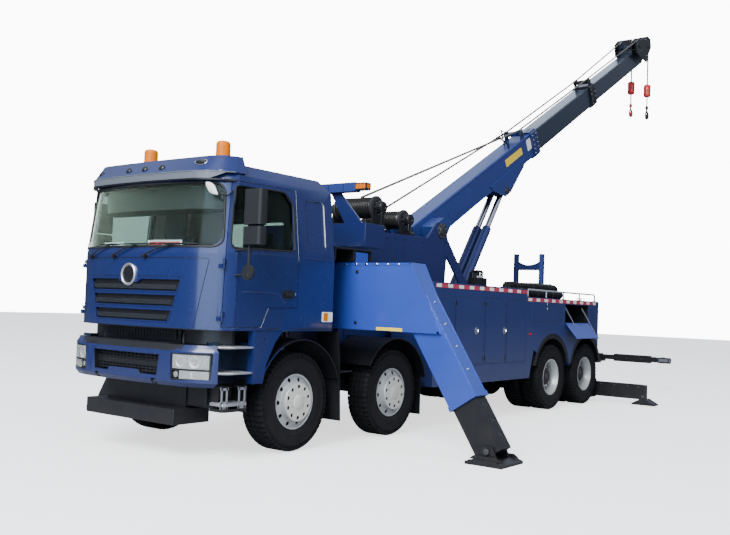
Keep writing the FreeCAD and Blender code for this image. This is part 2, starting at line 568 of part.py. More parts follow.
LIGHT_X, LIGHT_Z = -1300, 3000
mast = [box(LIGHT_X - 60, LIGHT_X + 60, -900, 900, LIGHT_Z - 5, LIGHT_Z + 110)]
for s in SIDES.values():
    mast.append(front_plate([(s * 700, 2610.0), (s * 980, 2610.0), (s * 620, LIGHT_Z), (s * 470, LIGHT_Z)],
                            LIGHT_X - 40, LIGHT_X - 10))
mast.append(box(LIGHT_X - 55, LIGHT_X + 55, 900, 1064, LIGHT_Z + 10, LIGHT_Z + 100))
mast.append(box(LIGHT_X - 55, LIGHT_X + 55, -900, -1064, LIGHT_Z + 10, LIGHT_Z + 100))
add("light_bar", fused(mast))

winches = []
for x, z, r, half in ((-2500, 2960, 165, 300), (-3200, 2860, 150, 280)):
    flange = half + 28
    drum = turned([(-flange, 0), (-flange, r), (-half, r), (-half, r - 55), (half, r - 55), (half, r),
                   (flange, r), (flange, 0)], x, z)
    parts = [drum]
    for s in SIDES.values():
        cheek = [(x - 150, 2600), (x - 130, z + 40), (x - 60, z + 95), (x + 60, z + 95), (x + 130, z + 40),
                 (x + 150, 2600)]
        parts.append(side_plate(cheek, s * flange, s * (flange + 30)))
        parts.append(rod(85, (x, s * (flange + 30), z), (x, s * (flange + 120), z)))
    winches.append(fused(parts))
add("winches", *winches)

# ---------------------------------------------------------------- rear body
HATCH = (-6780, -7760, 1440, 1752)
FLAP_LENGTH, FLAP_OPEN = 324, 140
lockers = []
for s in SIDES.values():
    outline = [(BODY_FRONT, BODY_BOTTOM), (BODY_FRONT, DECK_FRONT_Z), (DECK_STEP_X, DECK_FRONT_Z),
               (DECK_STEP_X, DECK_REAR_Z), (BODY_REAR, DECK_REAR_Z), (BODY_REAR, 890), (AXLES[3], 700),
               (AXLES[2], 700), (-5600, 1000), (-5460, BODY_BOTTOM)]
    locker = side_plate(outline, s * 560, s * HALF_WIDTH)
    for x in AXLES[2:]:
        locker = locker.cut(rod(ARCH_R, (x, s * 500, WHEEL_Z), (x, s * 1300, WHEEL_Z)))
    lockers.append(locker)
deck = box(-4280, DECK_STEP_X, -570, 570, DECK_FRONT_Z - 50, DECK_FRONT_Z)
deck = deck.fuse(box(DECK_STEP_X, BODY_REAR, -570, 570, DECK_REAR_Z - 50, DECK_REAR_Z))
deck = deck.fuse(box(DECK_STEP_X, DECK_STEP_X - 20, -570, 570, DECK_REAR_Z - 50, DECK_FRONT_Z))
deck = deck.cut(box(-4790, -5900, -230, 230, DECK_REAR_Z - 60, DECK_FRONT_Z + 10))
tail = box(BODY_REAR + 20, BODY_REAR, -570, 570, 1060, DECK_REAR_Z)
bearers = [box(x - 40, x + 40, -570, 570, RAIL_Z1, RAIL_Z1 + 70) for x in (-4500, -5700, -7000, -8190)]
body = fused(lockers + [deck, tail] + bearers)
# seams round the shut locker doors
LOCKER_Z = (816, 1776)
LOCKER_X = [(-2665, -3140), (-3160, -3960), (-3995, -4630), (-4652, -5300)]
SEAM = 8
seams = [[(a, LOCKER_Z[0]), (b, LOCKER_Z[0]), (b, LOCKER_Z[1]), (a, LOCKER_Z[1])] for a, b in LOCKER_X]
seams.append([(-5479, 1435), (-6678, 1435), (-6678, 1791), (-5479, 1791)])
for outline in seams:
    for s in SIDES.values():
        groove = side_plate(outline, s * (HALF_WIDTH - SEAM), s * (HALF_WIDTH + 5))
        kept = side_plate(inset(outline, SEAM), s * (HALF_WIDTH - 20), s * (HALF_WIDTH + 10))
        body = body.cut(groove.cut(kept))
body = body.cut(box(HATCH[0], HATCH[1], 800, 1300, HATCH[2], HATCH[3]))
add("rear_body", body)

hatch_axis = V(0, HALF_WIDTH + 12, HATCH[2] - 12)
flap = box(HATCH[0] - 4, HATCH[1] + 4, -3, 5, 0, FLAP_LENGTH)
flap = fused([flap, rod(7, (HATCH[1] + 4, 0, 0), (HATCH[0] - 4, 0, 0))])
flap.rotate(V(0, 0, 0), X_AXIS, -FLAP_OPEN)
flap.translate(hatch_axis)
add("locker_hatch", flap)

REST_X, REST_TOP = -7870, 2700
posts = []
for s in SIDES.values():
    posts.append(box(REST_X - 45, REST_X + 45, s * 225, s * 300, DECK_REAR_Z, REST_TOP))
    posts.append(box(REST_X - 80, REST_X + 80, s * 200, s * 325, DECK_REAR_Z, DECK_REAR_Z + 16))
    plate_z = DECK_REAR_Z + 16
    gusset = [(REST_X + 45, plate_z), (REST_X + 80, plate_z), (REST_X + 45, DECK_REAR_Z + 190)]
    posts.append(side_plate(gusset, s * 255, s * 270))
saddle_top = [V(REST_X - 30, 230, 2560), V(REST_X - 30, 0, 2490), V(REST_X - 30, -230, 2560)]
saddle_low = [V(REST_X - 30, y, 2390) for y in (-230, 230)]
saddle_wire = Part.Wire([Part.Arc(*saddle_top).toShape(), Part.makeLine(saddle_top[2], saddle_low[0]),
                         Part.makeLine(*saddle_low), Part.makeLine(saddle_low[1], saddle_top[0])])
posts.append(Part.Face(saddle_wire).extrude(V(60, 0, 0)))
add("boom_rest", fused(posts))

# cylinder foot bearing between the rails
foot_x, foot_z = CYL_FOOT
saddle = [side_plate([(foot_x - 160, RAIL_Z1), (foot_x + 160, RAIL_Z1), (foot_x + 90, foot_z + 90),
                      (foot_x - 90, foot_z + 90)], y, y + 20) for y in (-215, -10, 195)]
base_plate = box(foot_x - 160, foot_x + 160, -RAIL_Y, RAIL_Y, RAIL_Z1, RAIL_Z1 + 25)
bearing = fused(saddle + [base_plate]).cut(rod(45 + FIT, (foot_x, -300, foot_z), (foot_x, 300, foot_z)))
add("pedestal", pedestal_frame, bearing)

# ---------------------------------------------------------------- boom
BOOM_AXIS = (boom_point(1, 0) - boom_point(0, 0)).normalize()


def long_chamfer(block, size):
    """The block with the edges that run along the boom cut back."""
    edges = [e for e in block.Edges if abs(e.tangentAt(e.FirstParameter).dot(BOOM_AXIS)) > 0.999]
    return block.makeChamfer(size, edges)


def boom_section(name):
    w, h, wall, start, end = BOOM_SECTIONS[name]
    solid = long_chamfer(boom_plate([(start, -h), (end, -h), (end, h), (start, h)], -w, w), 14)
    hollow = boom_plate([(start + (400 if name == "boom_base" else -1), -h + wall), (end + 1, -h + wall),
                         (end + 1, h - wall), (start + (400 if name == "boom_base" else -1), h - wall)],
                        -w + wall, w - wall)
    return solid.cut(hollow)


def collar(name, s0, s1):
    w, h, wall, start, end = BOOM_SECTIONS[name]
    c = COLLAR
    sleeve = boom_plate([(s0, -h - c), (s1, -h - c), (s1, h + c), (s0, h + c)], -w - c, w + c)
    block = long_chamfer(sleeve, COLLAR_CHAMFER)
    hole = boom_plate([(s0 - 1, -h + wall), (s1 + 1, -h + wall), (s1 + 1, h - wall), (s0 - 1, h - wall)],
                      -w + wall, w - wall)
    return block.cut(hole)


def grooved(radius, s, o, y):
    """A rope sheave with a groove in its rim."""
    c = boom_point(s, o)
    groove = radius - 26
    outline = [(-24, 20), (-24, radius), (-14, radius), (0, groove), (14, radius), (24, radius), (24, 20)]
    return turned([(y + a, r) for a, r in outline], c.x, c.z)


base_w, base_h = BOOM_SECTIONS["boom_base"][:2]
EAR_LAP = 110                         # how far the outer ears run up the boom's sides
ears = []
for y0, y1, top in ((-base_w - 16, -base_w + 1, EAR_LAP), (-6, 6, 2), (base_w - 1, base_w + 16, EAR_LAP)):
    ears.append(boom_plate([(2150, top - base_h), (3620, top - base_h), (3500, -base_h - 10),
                            (2810, CYL_EYE_O - 75), (2600, CYL_EYE_O - 75), (2250, -base_h - 10)], y0, y1))
pivot_pin = boom_rod(60, 0, 0, -452, 452)
pivot_cheeks = boom_plate([(-120, -130), (220, -130), (420, 0), (220, 130), (-120, 130)], base_w - 1, 405)
rollers = [boom_rod(45, 3700, base_h + 110, -150, 150)]
ear = [(3620, base_h - 5), (3780, base_h - 5), (3730, base_h + 170), (3670, base_h + 170)]
brackets = [boom_plate(ear, y0, y1) for y0, y1 in ROLLER_EARS]
base = fused([boom_section("boom_base"), collar("boom_base", 3980, 4230), pivot_pin, pivot_cheeks,
              mirrored(pivot_cheeks)] + ears + rollers + brackets)
add("boom_base", base)

middle_w, middle_h = BOOM_SECTIONS["boom_middle"][:2]
rollers = [boom_rod(45, 7180, middle_h + 110, -150, 150)]
ear = [(7110, middle_h - 5), (7250, middle_h - 5), (7220, middle_h + 170), (7140, middle_h + 170)]
brackets = [boom_plate(ear, y0, y1) for y0, y1 in ROLLER_EARS]
middle_collar = collar("boom_middle", 7080, 7350)
add("boom_middle", fused([boom_section("boom_middle"), middle_collar] + rollers + brackets))

tip_w, tip_h = BOOM_SECTIONS["boom_tip"][:2]
tip = boom_section("boom_tip")
head = []
HEAD = [(10000, tip_h - 8), (10550, -tip_h), (10750, -60), (11040, 60), (11060, 250), (10900, 360),
        (10300, 470), (10080, 430), (10020, 260)]
for s in SIDES.values():
    for y0, y1 in ((tip_w - 12, tip_w + 6), (HOOK_Y + 52, HOOK_Y + 70)):
        head.append(boom_plate(HEAD, s * y0, s * y1) if s > 0 else mirrored(boom_plate(HEAD, y0, y1)))
    head.append(grooved(SHEAVE_R - 4, SHEAVE_S, SHEAVE_O, s * HOOK_Y))
    head.append(grooved(GUIDE_R - 20, GUIDE_S, GUIDE_O, s * HOOK_Y))
axle_a = boom_rod(35, SHEAVE_S, SHEAVE_O, -HOOK_Y - 75, HOOK_Y + 75)
axle_b = boom_rod(30, GUIDE_S, GUIDE_O, -HOOK_Y - 75, HOOK_Y + 75)
bridge = boom_plate([(10060, tip_h - 10), (10200, tip_h - 10), (10200, tip_h + 10), (10060, tip_h + 10)],
                    -HOOK_Y - 60, HOOK_Y + 60)
add("boom_tip", fused([tip, axle_a, axle_b, bridge] + head))

# ---------------------------------------------------------------- lift cylinders
eye = boom_point(CYL_EYE_S, CYL_EYE_O)
foot = V(CYL_FOOT[0], 0, CYL_FOOT[1])
along = (eye - foot).normalize()
barrels, rods = [], []
for s in SIDES.values():
    y = V(0, s * CYL_Y, 0)
    tube = Part.makeCylinder(CYL_R, BARREL_LENGTH - 80, foot + y + along * 80, along)
    tube = tube.cut(Part.makeCylinder(ROD_R + FIT, BARREL_LENGTH - 150, foot + y + along * 160, along))
    heel = rod(85, (foot.x, s * CYL_Y - 75, foot.z), (foot.x, s * CYL_Y + 75, foot.z))
    neck = Part.makeCylinder(70, 90, foot + y, along)
    barrels.extend([tube, heel, neck])
    stem = Part.makeCylinder(ROD_R, ROD_LENGTH, eye + y - along * ROD_LENGTH, along)
    knob = Part.makeCylinder(EYE_R, 2 * EYE_HALF, eye + V(0, s * CYL_Y - EYE_HALF, 0), Y_AXIS)
    rods.append(fused([stem, knob]))
barrels.append(rod(45, (foot.x, -220, foot.z), (foot.x, 220, foot.z)))
add("lift_barrels", fused(barrels))
add("lift_rods", *rods)

# ---------------------------------------------------------------- hooks
sheave_c = boom_point(SHEAVE_S, SHEAVE_O)
HOOK_X = sheave_c.x - SHEAVE_R
hooks = []
HOOKS = {"left": (7254, 6934, 6394), "right": (7378, 7047, 6497)}   # weight top, bottom, hook bottom
for side, (top, low, tip_z) in HOOKS.items():
    y = SIDES[side] * HOOK_Y
    rope = rod(9, (HOOK_X, y, top - 5), (HOOK_X, y, sheave_c.z))
    weight = rod(85, (HOOK_X, y, low), (HOOK_X, y, top))
    shank = rod(22, (HOOK_X, y, tip_z + 200), (HOOK_X, y, low + 5))
    curl = bead(75, 52, (HOOK_X, y, tip_z + 101), Y_AXIS)
    curl = curl.cut(box(HOOK_X, HOOK_X + 120, y - 40, y + 40, tip_z + 110, tip_z + 260))
    swivel = rod(40, (HOOK_X, y, tip_z + 240), (HOOK_X, y, tip_z + 330))
    link = box(HOOK_X - 90, HOOK_X + 20, y - 20, y + 20, tip_z + 160, tip_z + 215)
    hooks.append(fused([rope, weight, shank, swivel, link, curl]))
add("hooks", *hooks)

# ---------------------------------------------------------------- front outriggers
LEG_C, LEG_S = math.cos(rad(LEG_DROP)), math.sin(rad(LEG_DROP))


def leg_point(x, along_leg, across):
    """Point of the left leg's plane: along_leg down the leg, across it towards the outside."""
    return V(x, along_leg * LEG_C + across * LEG_S, -along_leg * LEG_S + across * LEG_C)


def leg_plate(x0, x1, a0, a1, c0, c1):
    corners = [leg_point(x0, a0, c0), leg_point(x0, a1, c0), leg_point(x0, a1, c1), leg_point(x0, a0, c1)]
    return Part.Face(Part.makePolygon(corners + corners[:1])).extrude(V(x1 - x0, 0, 0))


HOUSING = (2420, 2775)                # across the leg: inner and outer face of the housing
SLEEVE_WALL, LEG_GAP = 14, 8
HOUSING_A0, HOUSING_A1 = -560, 960
for side, s in SIDES.items():
    x1, x0 = LANES[side]
    mid = (x0 + x1) / 2
    c0, c1 = HOUSING
    tube = leg_plate(x0 + 20, x1 - 20, HOUSING_A0, HOUSING_A1, c0, c1)
    bore = leg_plate(x0 + 20 + SLEEVE_WALL, x1 - 20 - SLEEVE_WALL, HOUSING_A0 + 60, HOUSING_A1 + 1,
                     c0 + SLEEVE_WALL, c1 - SLEEVE_WALL)
    panel = front_plate([(860, 1320), (2404, 1320), (2003, 2095), (860, 2095)], x1 - 20, x1 + 10)
    back = front_plate([(860, 1700), (2200, 1700), (2003, 2095), (860, 2095)], x0 + 20, x1 - 20)
    hollow = front_plate([(700, 1730), (1900, 1730), (1800, 2065), (700, 2065)], x0 + 35, x1 - 35)
    hanger = box(x0 + 30, x1 - 30, 870, 1190, 2090, RAIL_BOX_Z[1] - 15)
    housing = fused([panel, back.cut(hollow), tube, hanger])
    housing = housing.cut(bore)
    body_l = housing
    gap = SLEEVE_WALL + LEG_GAP
    inner = leg_plate(x0 + 20 + gap, x1 - 20 - gap, -60, 1560, c0 + gap, c1 - gap)
    shoe_y = 3020
    ankle = leg_point(mid, 1560, (c0 + c1) / 2)
    foot_plate = front_plate([(shoe_y - 215, 0), (shoe_y + 215, 0), (shoe_y + 215, 30), (shoe_y + 120, 60),
                              (shoe_y - 120, 60), (shoe_y - 215, 30)], mid - 240, mid + 240)
    lugs = [front_plate([(shoe_y - 110, 55), (shoe_y + 110, 55), (shoe_y + 50, 190), (shoe_y - 60, 190)],
                        mid + dx, mid + dx + 30) for dx in (-150, 120)]
    pin = rod(25, (mid - 170, shoe_y - 5, 140), (mid + 170, shoe_y - 5, 140))
    leg = fused([inner, foot_plate, pin] + lugs)
    if s < 0:
        body_l, leg = mirrored(body_l), mirrored(leg)
    add(f"front_outrigger_{side}", body_l)
    add(f"front_leg_{side}", leg)

# ---------------------------------------------------------------- rear outriggers and underlift
rx0, rx1 = REAR_LEG_X
ux, uz = UNDERLIFT_PIVOT
sleeve = box(rx0 + 20, rx1 - 20, -1060, 1060, 70, 390).cut(box(rx0, rx1, -1100, 1100, 90, 370))
tail_frame = [sleeve, box(FRAME_REAR, FRAME_REAR - 30, -RAIL_Y, RAIL_Y, 380, RAIL_Z1)]
for s in SIDES.values():
    tail_frame.append(box(FRAME_REAR - 20, ux - 60, s * 140, s * 175, uz - 80, uz + 150))
tail_frame = fused(tail_frame).cut(rod(40 + FIT, (ux, -300, uz), (ux, 300, uz)))
add("rear_sleeve", tail_frame)
for side, s in SIDES.items():
    beam_x = (rx0 - 22, rx0 - 127) if side == "left" else (rx1 + 127, rx1 + 22)
    beam = box(beam_x[0], beam_x[1], 60, 2080, 100, 360)
    shoe = [(1830, 0), (2240, 0), (2240, 25), (2080, 110), (1990, 110), (1830, 25)]
    foot = front_plate(shoe, rx0 - 15, rx1 + 15)
    beam = fused([beam, foot])
    add(f"rear_outrigger_{side}", beam if s > 0 else mirrored(beam))

lift_boom = box(ux - 60, CROSSBAR_X + 1500, -130, 130, uz - 110, uz + 110)
lift_boom = lift_boom.cut(box(ux - 80, CROSSBAR_X + 1400, -115, 115, uz - 95, uz + 95))
lugs = [box(ux + 55, ux - 100, y, y + 40, uz - 65, uz + 65) for y in (-130, 90)]
lug_pin = rod(40, (ux, -180, uz), (ux, 180, uz))
add("underlift_boom", fused([lift_boom, lug_pin] + lugs))
arm = box(ux - 1130, CROSSBAR_X + 230, -107, 107, uz - 87, uz + 87)
tongue = box(CROSSBAR_X + 240, CROSSBAR_X - 80, -90, 90, uz - 60, uz - 20)
arm = fused([arm, tongue, rod(50, (CROSSBAR_X, 0, uz - 60), (CROSSBAR_X, 0, uz + 95))])
add("underlift_arm", arm)
bar = box(CROSSBAR_X - 70, CROSSBAR_X + 70, -1300, 1300, uz - 15, uz + 85)
bar = fused([bar, box(CROSSBAR_X - 45, CROSSBAR_X + 45, -1545, 1545, uz, uz + 70)])
bar = bar.cut(rod(50 + FIT, (CROSSBAR_X, 0, uz - 100), (CROSSBAR_X, 0, uz + 100)))
for s in SIDES.values():
    fork_y = s * FORK_HOLE_Y
    bar = bar.cut(rod(FORK_HOLE_R, (CROSSBAR_X, fork_y, uz - 100), (CROSSBAR_X, fork_y, uz + 100)))
add("crossbar", bar)

# ---------------------------------------------------------------- origin and files
everything = Part.makeCompound(list(pieces.values())).BoundBox
ORIGIN_X = (everything.XMin + everything.XMax) / 2


def finish():
    os.makedirs("parts", exist_ok=True)
    for name, shape in pieces.items():
        shape.translate(V(-ORIGIN_X, 0, 0))
        shape.exportStep(f"parts/{name}.step")
    box_all = Part.makeCompound(list(pieces.values())).BoundBox
    print(len(pieces), "nodes,", round(box_all.XLength), round(box_all.YLength), round(box_all.ZLength))
    print("lowest", round(box_all.ZMin, 2), "origin shift", round(ORIGIN_X, 1))


finish()
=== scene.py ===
# %% [markdown]
# # A heavy tow truck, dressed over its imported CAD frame
# The CAD part gives every body its place. This script rounds its edges, paints it, and adds the
# tyres' tread, wheels, ropes, lamps, wipers, handles, seats and other small parts that a collision
# model does not need. Lengths are in millimetres, counted from the first axle: +X forward, +Y left,
# +Z up. In a loop over both sides, s is +1 on the left and -1 on the right.

# %% Load the frame
import json
import math

import bmesh
import bpy
from mathutils import Matrix, Vector

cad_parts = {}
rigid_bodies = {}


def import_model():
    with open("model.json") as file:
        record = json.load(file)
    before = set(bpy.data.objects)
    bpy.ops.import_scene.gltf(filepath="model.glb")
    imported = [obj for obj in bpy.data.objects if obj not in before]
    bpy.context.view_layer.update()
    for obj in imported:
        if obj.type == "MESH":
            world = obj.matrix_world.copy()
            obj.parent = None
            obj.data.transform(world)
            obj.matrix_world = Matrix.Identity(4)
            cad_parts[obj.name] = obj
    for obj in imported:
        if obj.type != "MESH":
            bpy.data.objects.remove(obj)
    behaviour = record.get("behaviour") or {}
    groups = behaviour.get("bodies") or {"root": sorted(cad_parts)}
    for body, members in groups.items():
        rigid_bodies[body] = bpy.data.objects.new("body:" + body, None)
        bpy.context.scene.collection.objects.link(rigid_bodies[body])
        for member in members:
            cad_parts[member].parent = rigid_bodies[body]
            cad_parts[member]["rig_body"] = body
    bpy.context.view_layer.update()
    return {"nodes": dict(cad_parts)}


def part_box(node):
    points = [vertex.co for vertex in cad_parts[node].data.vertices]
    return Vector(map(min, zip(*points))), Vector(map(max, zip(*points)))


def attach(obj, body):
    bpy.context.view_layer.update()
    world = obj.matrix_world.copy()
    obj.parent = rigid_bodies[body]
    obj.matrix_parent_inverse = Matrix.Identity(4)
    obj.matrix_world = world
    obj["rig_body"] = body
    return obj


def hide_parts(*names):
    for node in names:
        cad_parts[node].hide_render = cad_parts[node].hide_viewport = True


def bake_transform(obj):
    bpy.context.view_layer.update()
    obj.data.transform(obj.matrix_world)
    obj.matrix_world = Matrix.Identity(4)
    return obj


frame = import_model()
AXLE_1 = sum((v.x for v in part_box("tyre_1_left")), 0.0) / 2
MM = 0.001
TURN = 2 * math.pi
SIDES = {"left": 1, "right": -1}
FORWARD, LEFT, UP = (1, 0, 0), (0, 1, 0), (0, 0, 1)
print(len(frame["nodes"]), "CAD nodes;", "first axle at x =", round(AXLE_1, 4))


def at(x, y, z):
    """A place on the truck, in millimetres from the first axle, as a point of the row frame."""
    return Vector((x * MM + AXLE_1, y * MM, z * MM))


# %% [markdown]
# ## Mesh tools
# A `Form` gathers simple solids into one mesh for one body. Each solid can have its own material and
# softened edges. Outlines are extruded, profiles are turned, and points are followed by a tube.

# %% Outlines and rings
def rounded_corners(points, radius, steps=4):
    """The 2-D outline with each corner drawn as a short arc."""
    out = []
    for i, p in enumerate(points):
        p, a, b = Vector(p), Vector(points[i - 1]), Vector(points[(i + 1) % len(points)])
        r = min(radius, (a - p).length * 0.45, (b - p).length * 0.45)
        start, stop = p + (a - p).normalized() * r, p + (b - p).normalized() * r
        for k in range(steps + 1):
            t = k / steps
            out.append(tuple(start * (1 - t) ** 2 + p * 2 * t * (1 - t) + stop * t ** 2))
    return out


def rect(x0, z0, x1, z1, radius=0.0):
    corners = [(x0, z0), (x1, z0), (x1, z1), (x0, z1)]
    return rounded_corners(corners, radius) if radius else corners


def spread(points, longest):
    """The closed outline with points added, none further apart than about the longest step."""
    out = []
    for a, b in zip(points, points[1:] + points[:1]):
        cuts = max(1, int(math.hypot(b[0] - a[0], b[1] - a[1]) / longest))
        out += [(a[0] + (b[0] - a[0]) * k / cuts, a[1] + (b[1] - a[1]) * k / cuts) for k in range(cuts)]
    return out


def angles(count):
    return [TURN * k / count for k in range(count)]


def skin(bm, rings, closed=False, caps=True):
    """Faces from each ring of places to the next, and over both ends. A ring may be a single place."""
    rings = [[bm.verts.new(p) for p in ring] for ring in rings]
    for a, b in zip(rings, rings[1:] + (rings[:1] if closed else [])):
        for k in range(max(len(a), len(b))):
            four = (a[k % len(a)], a[(k + 1) % len(a)], b[(k + 1) % len(b)], b[k % len(b)])
            corners = list(dict.fromkeys(four))
            if len(corners) > 2:
                bm.faces.new(corners)
    for end in (rings[0], rings[-1][::-1]):
        if caps and len(end) > 1:
            bm.faces.new(end)
    return bm


def turned(profile, origin, axis, x, y, steps):
    """Rings of places from (distance along, radius) pairs; no radius gives a single place."""
    spokes = [x * math.cos(t) + y * math.sin(t) for t in angles(steps)]
    rings = []
    for along, radius in profile:
        middle = origin + axis * along * MM
        rings.append([middle + spoke * radius * MM for spoke in spokes] if radius else [middle])
    return rings


# %% The Form class
class Form:
    def __init__(self, name, body, *materials):
        self.name, self.body, self.materials = name, body, materials
        self.bm = bmesh.new()

    def join(self, part, material, bevel=0.0, smooth=False):
        if bevel:
            sharp = [e for e in part.edges if len(e.link_faces) == 2 and e.calc_face_angle(0) > 0.5]
            bmesh.ops.bevel(part, geom=sharp, offset=bevel * MM, segments=2, affect="EDGES", profile=0.6,
                            clamp_overlap=True)
        bmesh.ops.recalc_face_normals(part, faces=part.faces)
        for f in part.faces:
            f.material_index = material
            f.smooth = smooth
        mesh = bpy.data.meshes.new("part")
        part.to_mesh(mesh)
        part.free()
        self.bm.from_mesh(mesh)
        bpy.data.meshes.remove(mesh)
        return self

    def solid(self, rings, material, bevel=0.0, smooth=False):
        return self.join(skin(bmesh.new(), rings), material, bevel, smooth)

    def prism(self, outline, axis, a, b, material=0, bevel=2.0, smooth=False):
        """Extrude a 2-D outline along axis x, y or z, from a to b."""
        place = {"x": lambda p, t: at(t, p[0], p[1]), "y": lambda p, t: at(p[0], t, p[1]),
                 "z": lambda p, t: at(p[0], p[1], t)}[axis]
        return self.solid([[place(p, t) for p in outline] for t in (a, b)], material, bevel, smooth)

    def box(self, x, y, z, material=0, bevel=2.0):
        return self.prism(rect(x[0], y[0], x[1], y[1]), "z", z[0], z[1], material, bevel)

    def boxes(self, s, *rows):
        """Boxes on side s, one per row: x0, x1, y0, y1, z0, z1, material, bevel."""
        for x0, x1, y0, y1, z0, z1, material, bevel in rows:
            self.box((x0, x1), (s * y0, s * y1), (z0, z1), material, bevel)

    def turn(self, profile, start, direction, material=0, steps=32, smooth=True):
        """Revolve (distance along, radius) pairs about a line; the ends are closed."""
        z = Vector(direction).normalized()
        x = z.orthogonal().normalized()
        return self.solid(turned(profile, at(*start), z, x, z.cross(x), steps), material, 0.0, smooth)

    def stud(self, start, direction, radius, height, rim, crown, material, steps, below=0):
        """A round head with a chamfered rim: the chamfer takes rim off the radius and adds crown."""
        top = height + crown
        return self.turn([(below, radius), (height, radius), (top, radius - rim), (top, 0)], start, direction,
                         material, steps)

    def rod(self, radius, start, stop, material=0, steps=20):
        """A round bar between two points, with softened ends."""
        start, stop = Vector(start), Vector(stop)
        length = (stop - start).length
        e = min(1.5, radius * 0.4, length * 0.3)
        profile = [(0, radius - e), (e, radius), (length - e, radius), (length, radius - e)]
        return self.turn(profile, start, stop - start, material, steps)

    def tube(self, points, radius, material=0, sides=10):
        """A round tube along points; radius is one number or one per point."""
        pts = [at(*p) for p in points]
        rings = []
        side = None
        for i, p in enumerate(pts):
            forward = (pts[min(i + 1, len(pts) - 1)] - pts[max(i - 1, 0)]).normalized()
            side = forward.orthogonal().normalized() if side is None else side
            side = (side - forward * side.dot(forward)).normalized()
            up = forward.cross(side)
            r = radius[i] if isinstance(radius, list) else radius
            rings += turned([(0, r)], p, forward, side, up, sides)
        return self.solid(rings, material, 0.0, True)

    def loop(self, points, radius, material=0, sides=8):
        """A tube closed on itself, for seals round windows."""
        return self.tube(points + points[:2], radius, material, sides)

    def mesh(self, source, material, matrix, smooth=True):
        """Take in a ready mesh, such as a bored wheel disc, at a place of its own."""
        part = bmesh.new()
        part.from_mesh(source)
        part.transform(matrix)
        return self.join(part, material, 0.0, smooth)

    def done(self, replaces=(), blend=None):
        mesh = bpy.data.meshes.new(self.name)
        self.bm.to_mesh(mesh)
        self.bm.free()
        for m in self.materials:
            mesh.materials.append(m)
        mesh.set_sharp_from_angle(angle=math.radians(38))
        obj = bpy.data.objects.new(self.name, mesh)
        bpy.context.scene.collection.objects.link(obj)
        if blend:
            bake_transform(obj)
        else:
            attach(obj, self.body)
        if replaces:
            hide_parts(*replaces)
        print(f"{self.name}: {sum(len(p.vertices) - 2 for p in mesh.polygons)} triangles on {self.body}")


# %% [markdown]
# ## Materials
# A socket is wrapped so that sums read as sums. `Mat.node` makes any other node. Every finish starts
# from the same layers: slow colour drift, fine grain, dust that settles low on the truck, and a small
# bump. Each one then adds what its own surface shows.

# %% Socket arithmetic
class Socket:
    def __init__(self, mat, socket):
        self.mat, self.socket = mat, socket

    def math(self, kind, other, reflected=False):
        a, b = (other, self) if reflected else (self, other)
        return self.mat.node("ShaderNodeMath", 0, {"operation": kind}, {0: a, 1: b})

    def __add__(self, o): return self.math("ADD", o)
    def __radd__(self, o): return self.math("ADD", o, True)
    def __sub__(self, o): return self.math("SUBTRACT", o)
    def __rsub__(self, o): return self.math("SUBTRACT", o, True)
    def __mul__(self, o): return self.math("MULTIPLY", o)
    def __rmul__(self, o): return self.math("MULTIPLY", o, True)
    def mod(self, o): return self.math("FLOORED_MODULO", o)
    def power(self, o): return self.math("POWER", o)
    def maximum(self, o): return self.math("MAXIMUM", o)
    def sine(self): return self.math("SINE", 0.0)

    def span(self, low, high, to_low=0.0, to_high=1.0):
        """Clamped remap of low..high."""
        return self.mat.node("ShaderNodeMapRange", 0, {"clamp": True},
                             {0: self, 1: low, 2: high, 3: to_low, 4: to_high})


class Mat:
    def __init__(self, name, **fixed):
        self.material = bpy.data.materials.new(name)
        self.material.use_nodes = True
        self.tree = self.material.node_tree
        self.shader = self.tree.nodes["Principled BSDF"]
        for key, value in fixed.items():
            self.shader.inputs[key.replace("_", " ")].default_value = value
        coordinates = self.tree.nodes.new("ShaderNodeTexCoord")
        self.position = Socket(self, coordinates.outputs["Object"])
        split = self.tree.nodes.new("ShaderNodeSeparateXYZ")
        self.tree.links.new(self.position.socket, split.inputs[0])
        self.x, self.y, self.z = (Socket(self, split.outputs[i]) for i in range(3))

    def node(self, kind, out=0, settings=None, inputs=None):
        n = self.tree.nodes.new(kind)
        for key, value in (settings or {}).items():
            setattr(n, key, value)
        for key, value in (inputs or {}).items():
            if isinstance(value, Socket):
                self.tree.links.new(value.socket, n.inputs[key])
            else:
                n.inputs[key].default_value = value
        return Socket(self, n.outputs[out])

    def noise(self, scale, detail=3.0, rough=0.55):
        return self.node("ShaderNodeTexNoise", 0, None, {"Vector": self.position, "Scale": scale,
                                                         "Detail": detail, "Roughness": rough})

    def mix(self, factor, a, b):
        colours = [c if isinstance(c, Socket) else (*c, 1.0) for c in (a, b)]
        return self.node("ShaderNodeMix", 2, {"data_type": "RGBA"}, {0: factor, 6: colours[0], 7: colours[1]})

    def bump(self, height, distance):
        return self.node("ShaderNodeBump", 0, None, {"Height": height, "Distance": distance, "Strength": 1.0})

    def out(self, **links):
        for key, socket in links.items():
            self.tree.links.new(socket.socket, self.shader.inputs[key.replace("_", " ")])
        return self.material


# %% [markdown]
# Real paint drifts in colour, has a fine grain and gathers road dust low down. One flat colour
# looks like a toy, and an image texture needs unwrapping. So each finish is worked out from noise
# and height above the ground.

# %% Layers that most finishes share
DUST = (0.13, 0.12, 0.105)


